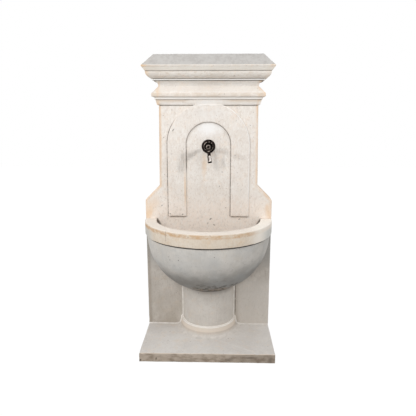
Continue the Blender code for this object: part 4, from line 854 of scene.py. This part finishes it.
# painted highlight: a pale line on the outer arris of the arch's right side, facing the light
painted_light = arch_radius.between(ARCH_OUT - 0.004, ARCH_OUT + 0.001, 0.001) * x.rise(0.05, 0.12)
painted_light = painted_light * y.rise(FACE - 0.006, FACE - 0.008) * down_jambs
stone.stain((254, 252, 249), painted_light * 0.8)
slab_shape = bmesh.new()
shoulder, neck = (HALF, SHOULDER_LOW), (NECK_FOOT, SHOULDER_HIGH)
slope = (NECK_FOOT - NECK_HEAD) / (SLAB_HEAD - SHOULDER_HIGH)
right = [(HALF, SLAB_SOLE - PAST)]
right += turned_corner(shoulder, right[0], neck, 0.015)
right += turned_corner(neck, shoulder, (NECK_HEAD, SLAB_HEAD), 0.015)
right.append((NECK_HEAD - slope * PAST, SLAB_HEAD + PAST))
SLAB_OUTLINE = stepped([Vector(p) for p in right] + [Vector((-p[0], p[1])) for p in reversed(right)], 0.008)
loop = [(ARCH_OUT, ARCH_FOOT), *arc(ARCH_OUT, 90), (-ARCH_OUT, ARCH_FOOT)]
loop += [(-ARCH_IN, ARCH_FOOT), *arc(-ARCH_IN, 60), (ARCH_IN, ARCH_FOOT)]
ARCH_OUTLINE = stepped(loop, 0.008)
front_lines = [(i, FACE + d) for i, d in reversed(arris_steps(0.005, 4))] + [(0.0075, FACE)]
side_depths = [FACE + 0.013, FACE + 0.03, FACE + 0.055, FACE + 0.08, BACK - 0.006]
back_lines = [(0.006, BACK)] + [(i, BACK - d) for i, d in arris_steps(0.0015, 2)]
slab_rings = [face_ring(slab_shape, SLAB_OUTLINE, i, d) for i, d in back_lines]
slab_rings += [face_ring(slab_shape, SLAB_OUTLINE, 0.0, d) for d in side_depths[::-1]]
slab_rings += [face_ring(slab_shape, SLAB_OUTLINE, i, d) for i, d in front_lines]
skin(slab_shape, slab_rings)
band_lines = [(-0.0025, FACE), (0.0, FACE), (0.0, FACE - 0.004), (0.0, FACE - 0.0075)]
band_lines += [(i, FACE - RELIEF + d) for i, d in reversed(arris_steps(0.0025, 3))] + [(0.005, FACE - RELIEF)]
band_rings = [face_ring(slab_shape, ARCH_OUTLINE, i, d) for i, d in band_lines]
skin(slab_shape, band_rings)
filled(slab_shape, slab_rings[-1], [band_rings[0]], FACE)
filled(slab_shape, band_rings[-1], [], FACE - RELIEF)
filled(slab_shape, slab_rings[0], [], BACK, 0.03)
for height, way in ((SLAB_HEAD, 1), (SLAB_SOLE, -1)):
    sawn(slab_shape, (0, 0, height), (0, 0, way))
upper_slab = carved(
    "upper_slab_stone", slab_shape, stone.paint(), "fountain", "warm_limestone", "upper_back_slab",
    wear=(0.0012, 0.0004, 11.0)
)
chase_size, chase_middle = (2 * CHASE_HALF, 0.2, 0.83, 1.0), (0, CHASE_FLOOR + 0.1, 0.7)
chase_shape = bmesh.new()
bmesh.ops.create_cube(chase_shape, size=1.0, matrix=Matrix.Translation(chase_middle) @ Matrix.Diagonal(chase_size))
nipple_hole = drum("nipple_hole", 0.0108, (0, 0.0, SPOUT_HEIGHT), (0, 0.25, SPOUT_HEIGHT))
bored(upper_slab, placed("chase", chase_shape), nipple_hole)


# The supply, in the chase behind the slabs: a copper riser in two lengths with a brass union,
# held by two sprung clips, and a brass elbow that turns it forward through the stone to the spout.
# The plumber fits it before the fountain is set against its wall.
dress(copper, "supply_riser", "inlet_stub")
dress(brass, "riser_union", "supply_elbow", "wall_nipple", "nipple_backnut")
dress(rubber, "nipple_washer", "spout_o_ring_front", "spout_o_ring_rear")
PINS = ("clip_screw", "base_dowel", "slab_dowel", "frieze_dowel", "cap_dowel", "basin_anchor")
dress(stainless, *(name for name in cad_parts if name.startswith(PINS)))
dress(plastic, *(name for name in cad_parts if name.startswith("riser_clip")))


# The spout: cast and turned bronze, gone near black, with a rosette against the stone and a short
# bent pipe on a round knuckle. The knuckle turns on the end of the supply and a screw holds it.
# A sleeve on the pipe's mouth is rubbed bright by hands and water, with a painted highlight, painted shade and a lip
# painted black as shade.
AXIS = Vector((0.0, FACE, SPOUT_HEIGHT))
LEAN, KICK = radians(6.0), radians(14.0)  # off plumb, and the bend of the pipe away from the stone
OUTWARD = Matrix.Translation(AXIS) @ Matrix.Rotation(radians(90.0), 4, "X")
LEANING = Matrix.Translation(AXIS) @ Matrix.Rotation(-LEAN, 4, "Y") @ Matrix.Rotation(radians(90.0), 4, "X")


def crest_highlights(finish):
    """Painted highlights on the rosette's crest and the knuckle's front edge."""
    up = finish.z - AXIS.z
    radius = (finish.x * finish.x + up * up).root()
    crest = radius.between(0.022, 0.025, 0.0008) * finish.y.rise(FACE - 0.0085, FACE - 0.0092)
    front = radius.between(0.0078, 0.0112, 0.0008) * finish.y.rise(FACE - 0.057, FACE - 0.0585) * 0.6
    finish.stain((186, 173, 163), crest.most(front) * finish.cloud(0.011, 3.0, 0.6, shift=2.0).rise(0.4, 0.58))


def sleeve_light_and_shade(finish):
    """Painted light and shade: the sleeve is bright on one side of its line and dark on the other, and its turned lip
    is painted black.
    """
    off_line = finish.x - (AXIS.z - finish.z) * tan(LEAN)
    finish.stain((46, 40, 38), off_line.rise(-0.001, -0.0065))
    finish.stain((236, 231, 226), off_line.between(0.001, 0.006, 0.0012) * 0.6)
    finish.stain((14, 11, 10), (finish.z - finish.x * 0.45).rise(1.006, 1.0044))


bronze = metal("old_bronze", (54, 46, 43), (22, 18, 17), 0.36, 0.25, crest_highlights)
worn_bronze = metal("rubbed_bronze", (176, 166, 158), (112, 103, 98), 0.3, 0.25, sleeve_light_and_shade)

rosette_run = in_mm(
    (10.8, 14), (13.8, 14), (14.8, 12.8), (15.5, 10.4), (16.4, 7.2), (17.4, 5.8), (18.6, 5.7), (19.8, 6.6),
    (21, 8.2), (22.2, 9.4), (23.5, 9.9), (24.8, 9.6), (26.2, 8.6), (27.6, 7), (28.8, 5.4), (30.4, 4.5),
    (32.5, 4.7), (34.5, 5.1), (35.8, 4.6), (36.6, 3.4), (37, 2.1), (37, 0.3), (10.8, 0.3)
)
turned("rosette", rosette_run, OUTWARD, bronze, "fountain", "dark_bronze", "spout_rosette", sides=96)

knuckle_run = in_mm(
    (5.8, 57.5), (5.8, 60.3), (8.2, 60.3), (10, 59.8), (11.3, 58.7), (12, 57.3), (12.2, 55.5), (12.2, 30),
    (12.2, 17.2), (12.8, 16.6), (13.4, 16.2), (13.6, 15.5), (13.6, 14.3), (8.3, 14.3), (8.3, 57.5)
)
turned("knuckle", knuckle_run, LEANING, bronze, "spout", "dark_bronze", "spout_knuckle")
GALLERY = 0.0391  # the pipe hangs this far in front of the stone
socket_run = in_mm(
    (0, 4), (11.2, 4), (11.8, 2), (11.8, -18.8), (11.4, -19.7), (10.8, -20), (9.4, -20), (9.2, -19), (9.2, -15),
    (0, -15)
)
upright = Matrix.Translation(AXIS) @ Matrix.Rotation(-LEAN, 4, "Y") @ Matrix.Translation((0.0, -GALLERY, 0.0))
turned("knuckle_socket", socket_run[::-1], upright, bronze, "spout", "dark_bronze")


def swept(name, path, sections, place, *fixing):
    """A round section carried along a path in the plane x = 0. Sections are (place along the path, radius)."""
    points = [Vector(p) for p in path]
    shape = bmesh.new()
    rings = []
    side = Vector((1.0, 0.0, 0.0))
    turns = [2 * pi * k / 40 for k in range(40)]
    for along, radius in sections:
        i = min(int(along), len(points) - 2)
        here = points[i].lerp(points[i + 1], along - i)
        way = (points[i + 1] - points[i - 1 if 0.3 > along - i and i > 0 else i]).normalized()
        up = side.cross(way)
        rings.append(ring_of(shape, [here + (side * cos(a) + up * sin(a)) * radius for a in turns]))
    skin(shape, rings + rings[:1])
    shape.transform(place)
    return carved(name, shape, *fixing, flat_under=40.0)


BEND, DROP = 0.045, 0.083  # radius of the bend, and how far the mouth hangs below the axis
spout_line = [(0.0, 0.0, -0.0105)]
for angle in (KICK * i / 12 for i in range(13)):
    spout_line.append((0.0, -BEND * (1 - cos(angle)), -0.026 - BEND * sin(angle)))
bend_end = spout_line[-1]
run = (DROP + bend_end[2]) / cos(KICK)
MOUTH = Vector((0.0, bend_end[1] - run * sin(KICK), -DROP))
spout_line.append(tuple(MOUTH))
last = len(spout_line) - 1
OUTER, INNER = 0.009, 0.0072  # radii of the pipe
outside = [(i, OUTER) for i in range(last)] + [(last - 1 + part, OUTER) for part in (0.2, 0.4, 0.6, 0.8, 0.99)]
hollow = [(last, 0.0086), (last, 0.0076), (last - 0.02, INNER), (last - 0.5, INNER)]
hollow += [(i, INNER) for i in range(last - 1, -1, -1)]
swept("pipe", spout_line, outside + hollow, upright, bronze, "spout", "dark_bronze", "spout_pipe")

sleeve_run = in_mm(
    (9.3, 35.5), (9.8, 36), (10.1, 35.7), (10.3, 35), (10.3, 18), (10.3, 4), (10.6, 3), (11.3, 2.4),
    (11.5, 1.4), (11.5, 0.2), (11.2, -0.8), (10.5, -1.2), (9.6, -1.1), (9.3, -0.6)
)
sleeve_place = upright @ Matrix.Translation(MOUTH) @ Matrix.Rotation(-KICK, 4, "X")
turned("sleeve", sleeve_run, sleeve_place, worn_bronze, "spout", "worn_bronze", "spout_nozzle")

screw_run = in_mm(
    (0, 58.2), (3.2, 58.2), (3.5, 58.5), (3.5, 59.9), (3.8, 60.3), (4.6, 60.3), (5.3, 60.1), (5.5, 59.5),
    (5.5, 57.5), (3, 57.5), (3, 47.5), (0, 47.5)
)
turned("screw", screw_run, LEANING, bronze, "fountain", "dark_bronze", "spout_screw", sides=48)


# The frieze course: a moulded block of the same warm stone, bedded on the neck and pinned to it.
# From its foot: a quirk, a bed mould, a fillet, a corona with its drip, a splay and a cavetto.
# The crown of the arch runs up into the quirk, so the mason left the stone standing there.
def course_ring(reach, height, crown=False):
    half, front = NECK_HEAD + reach, FACE - reach
    ring = []
    for across in (half * (2 * i / 160 - 1) for i in range(160)):
        under_arch = crown and hypot(across, height - RISE) < ARCH_OUT
        ring.append((across, min(front, FACE - RELIEF) if under_arch else front, height))
    ring += [(half, front + (BACK - front) * i / 26, height) for i in range(26)]
    ring += [(half - 2 * half * i / 40, BACK, height) for i in range(40)]
    return ring + [(-half, BACK - (BACK - front) * i / 26, height) for i in range(26)]


def course(name, levels, material, slot, stands_for, shift, crown=False):
    """A moulded block from a run of (reach, height) up its front and sides. Its back is plain."""
    shape = bar(course_ring(*level, crown=crown) for level in levels)
    return carved(name, shape, material, "fountain", slot, stands_for, wear=(0.0014, 0.0004, shift), flat_under=24.0)


frieze_run = [(0.0, 1.3)] + [(0.01 * sin(a), 1.3 + 0.007 * (1 - cos(a))) for a in (0.4, 0.8, 1.2)]
frieze_run += [(0.01, 1.307), (0.015, 1.327), (0.0135, 1.3283), (0.02, 1.3297), (0.02, 1.342), (0.034, 1.344)]
frieze_run += [(0.034, 1.36), (0.0, 1.398)]
frieze_run += [(0.022 * (1 - cos(a)), 1.398 + 0.025 * sin(a)) for a in (0.3, 0.6, 0.9, 1.2, 1.45)]
frieze_run += [(0.022, 1.423)]
stone, x, y, z = limestone(
    "frieze_limestone", (246, 241, 235), (228, 219, 209), (244, 228, 211), 0.7, (0.12, 1.0, 1.0)
)
course_end = abs(x).rise(0.245, 0.268)
course_end = course_end * stone.cloud(0.03, 4.0, 0.65).rise(0.38, 0.6)
stone.stain((240, 208, 172), course_end * 0.7)
corona_edge = z.between(1.343, 1.363, 0.002)
stone.stain((218, 202, 184), corona_edge * (0.45 + stone.cloud(0.04, 4.0).rise(0.4, 0.6) * 0.5) * 0.7)
bed_mould = z.rise(1.308, 1.325) * z.rise(1.33, 1.329)
bed_mould = bed_mould * abs(x).rise(0.08, 0.13)
stone.stain((222, 201, 178), bed_mould * 0.6)
splay = z.between(1.366, 1.398, 0.006)
stone.stain((222, 214, 204), splay * 0.35)
# painted shade in the groove over the bed mould and along the frieze's top, under the cap
crease_shade = z.between(1.3264, 1.3292, 0.0006)
crease_shade = crease_shade * (0.3 + abs(x).rise(0.05, 0.12) * 0.35)
crease_shade = crease_shade.most(z.rise(1.4218, 1.4226))
stone.stain((88, 76, 64), crease_shade * 0.8)
# painted light on the fillet under the corona, which its overhang shades
stone.stain((255, 252, 247), z.between(1.3302, 1.3415, 0.0005) * 0.85)
# a paler oval low in the middle of the frieze, over the crown of the arch
pale_oval_middle = stone.oval(0.0, 1.312, 0.0, 0.095, 0.026)
stone.stain((252, 249, 245), pale_oval_middle * 0.65)
frieze_levels = spread_out(eased(frieze_run, 0.0018), 0.006)
course("frieze_stone", frieze_levels, stone.paint(), "warm_limestone", "frieze_course", 13.0, crown=True)

# across the crown the joint is pointed flush with mortar of the stone's own dust
crown_rings = []
for across in (0.0795 * (i / 30 - 1) for i in range(61)):
    front = FACE - RELIEF - 0.0002 + 0.0002 * noise.noise(Vector((across * 40.0, 1.0, 0.0)))
    section = [(0.116, 1.2976), (front + 0.0004, 1.2968), (front, 1.298), (front - 0.0002, 1.2995)]
    section += [(front, 1.301), (front + 0.0004, 1.302), (0.116, 1.3012)]
    crown_rings.append([(across, y, z) for y, z in section])
pressed("crown_pointing", crown_rings, lime_mortar("crown_mortar", (248, 244, 239), (234, 227, 219)))


# The cap: the top course, with a fillet, an ovolo, a fascia and a wash hipped at both front corners
# to throw the rain off. Its weathered top has gone grey, and the fascia's corners are rusty.
cap_run = [(0.028, 1.425), (0.028, 1.4322), (0.0225, 1.4336), (0.0285, 1.435)]
cap_run += [(0.029 + 0.031 * sin(a), 1.435 + 0.033 * (1 - cos(a))) for a in (0.26, 0.52, 0.79, 1.05, 1.31)]
cap_run += [(0.06, 1.4668), (0.0565, 1.468), (0.0605, 1.4692)]
cap_run += [(0.0765, 1.4912), (0.077, 1.493), (0.077, 1.4945), (0.02, 1.5555)]
stone, x, y, z = limestone("cap_limestone", (240, 234, 226), (224, 215, 204), (240, 220, 198), 0.7, (0.12, 1.0, 1.0))
stone.stain((208, 190, 170), stone.cloud(0.011, 4.0, 0.7, (0.5, 1.0, 1.0), 25.0).rise(0.5, 0.66) * 0.4)
stone.stain((206, 184, 160), x.rise(-0.2, -0.3) * z.between(1.47, 1.494, 0.002) * 0.4)
cap_end = abs(x).rise(0.285, 0.335)
cap_end = cap_end * stone.cloud(0.03, 4.0, 0.65).rise(0.38, 0.6)
stone.stain((236, 200, 158), cap_end * 0.7)
# painted light on the fillet under the ovolo, which its overhang shades
stone.stain((255, 254, 251), z.between(1.4254, 1.4326, 0.0003) * 0.95)
stone.stain((255, 250, 240), z.between(1.47, 1.486, 0.003) * 0.6)
# painted shade in the creases above the fillet and under the fascia, and along the cap's foot
cap_crease_shade = z.between(1.4332, 1.4346, 0.0004).most(z.between(1.4668, 1.4692, 0.0006))
cap_crease_shade = cap_crease_shade.most(z.rise(1.4254, 1.4251))
stone.stain((88, 76, 64), cap_crease_shade * 0.75)
on_wash = z.rise(1.495, 1.4985)
wash_grey = stone.mix(srgb(190, 188, 185), srgb(174, 171, 168), stone.cloud(0.03, 6.0, 0.75).rise(0.4, 0.66))
stone.tint(wash_grey, on_wash * 0.9)
cap_levels = spread_out(eased(cap_run, 0.0018), 0.006)
course("cap_stone", cap_levels, stone.paint(), "warm_limestone", "cornice_cap", 17.0)


# The studio: a plain pale floor and backdrop, a broad soft light from the upper left, a weaker one
# from the upper right and an even sky.
WHITE = (1.0, 1.0, 1.0)


def seen_as_white(tree, surface, kind, strength, share, output):
    """What the camera sees, directly or in metal, is white by a share. The light on the fountain stays as it is."""
    rays = new_node(tree, "LightPath", {})
    kinds = ("Camera", "Glossy", "Transmission")
    seen, glossy, through = (Value(tree, rays.outputs[f"Is {ray} Ray"]) for ray in kinds)
    white = Value(tree, new_node(tree, kind, {"Color": WHITE, "Strength": strength}).outputs[0])
    mixed = {"Fac": seen.most(glossy).most(through) * share, 1: Value(tree, surface.outputs[0]), 2: white}
    feed(Value(tree, new_node(tree, "MixShader", mixed).outputs[0]), tree.nodes[output].inputs["Surface"])


floor_mesh = bpy.data.meshes.new("floor")
floor_mesh.from_pydata([(-9, -9, 0), (9, -9, 0), (9, 9, 0), (-9, 9, 0)], [], [(0, 1, 2, 3)])
floor = bpy.data.objects.new("floor", floor_mesh)
scene = bpy.context.scene
scene.collection.objects.link(floor)
matt = Finish("floor", (222, 222, 222), 1.0)
feed(0.0, matt.shader.inputs["Specular IOR Level"])
floor_mesh.materials.append(matt.paint())
seen_as_white(matt.tree, matt.shader, "Emission", 1.05, 0.94, "Material Output")

scene.view_settings.view_transform = "Standard"
scene.world = bpy.data.worlds.new("studio")
scene.world.use_nodes = True
sky = scene.world.node_tree
sky_light = sky.nodes["Background"]
feed(WHITE, sky_light.inputs["Color"])
feed(0.6, sky_light.inputs["Strength"])
seen_as_white(sky, sky_light, "Background", 1.0, 1.0, "World Output")

for name, place, power in (("key", (-1.5, -1.9, 2.6), 34.0), ("second", (1.7, -1.4, 2.8), 17.0)):
    lamp = bpy.data.lights.new(name, "AREA")
    lamp.shape = "SQUARE"
    lamp.size = 1.2
    lamp.energy = power
    light = bpy.data.objects.new(name, lamp)
    light.location = place
    light.rotation_euler = (Vector((0.0, 0.1, 0.9)) - light.location).to_track_quat("-Z", "Y").to_euler()
    scene.collection.objects.link(light)

view = bpy.data.cameras.new("camera")
view.lens = 36.2
view.sensor_width = 36.0
view.clip_start = 0.05
camera = bpy.data.objects.new("camera", view)
camera.location = (0.055, -2.152, 1.22)
camera.rotation_euler = (radians(90.0 - 11.78), 0.0, radians(1.45))
scene.collection.objects.link(camera)
scene.camera = camera
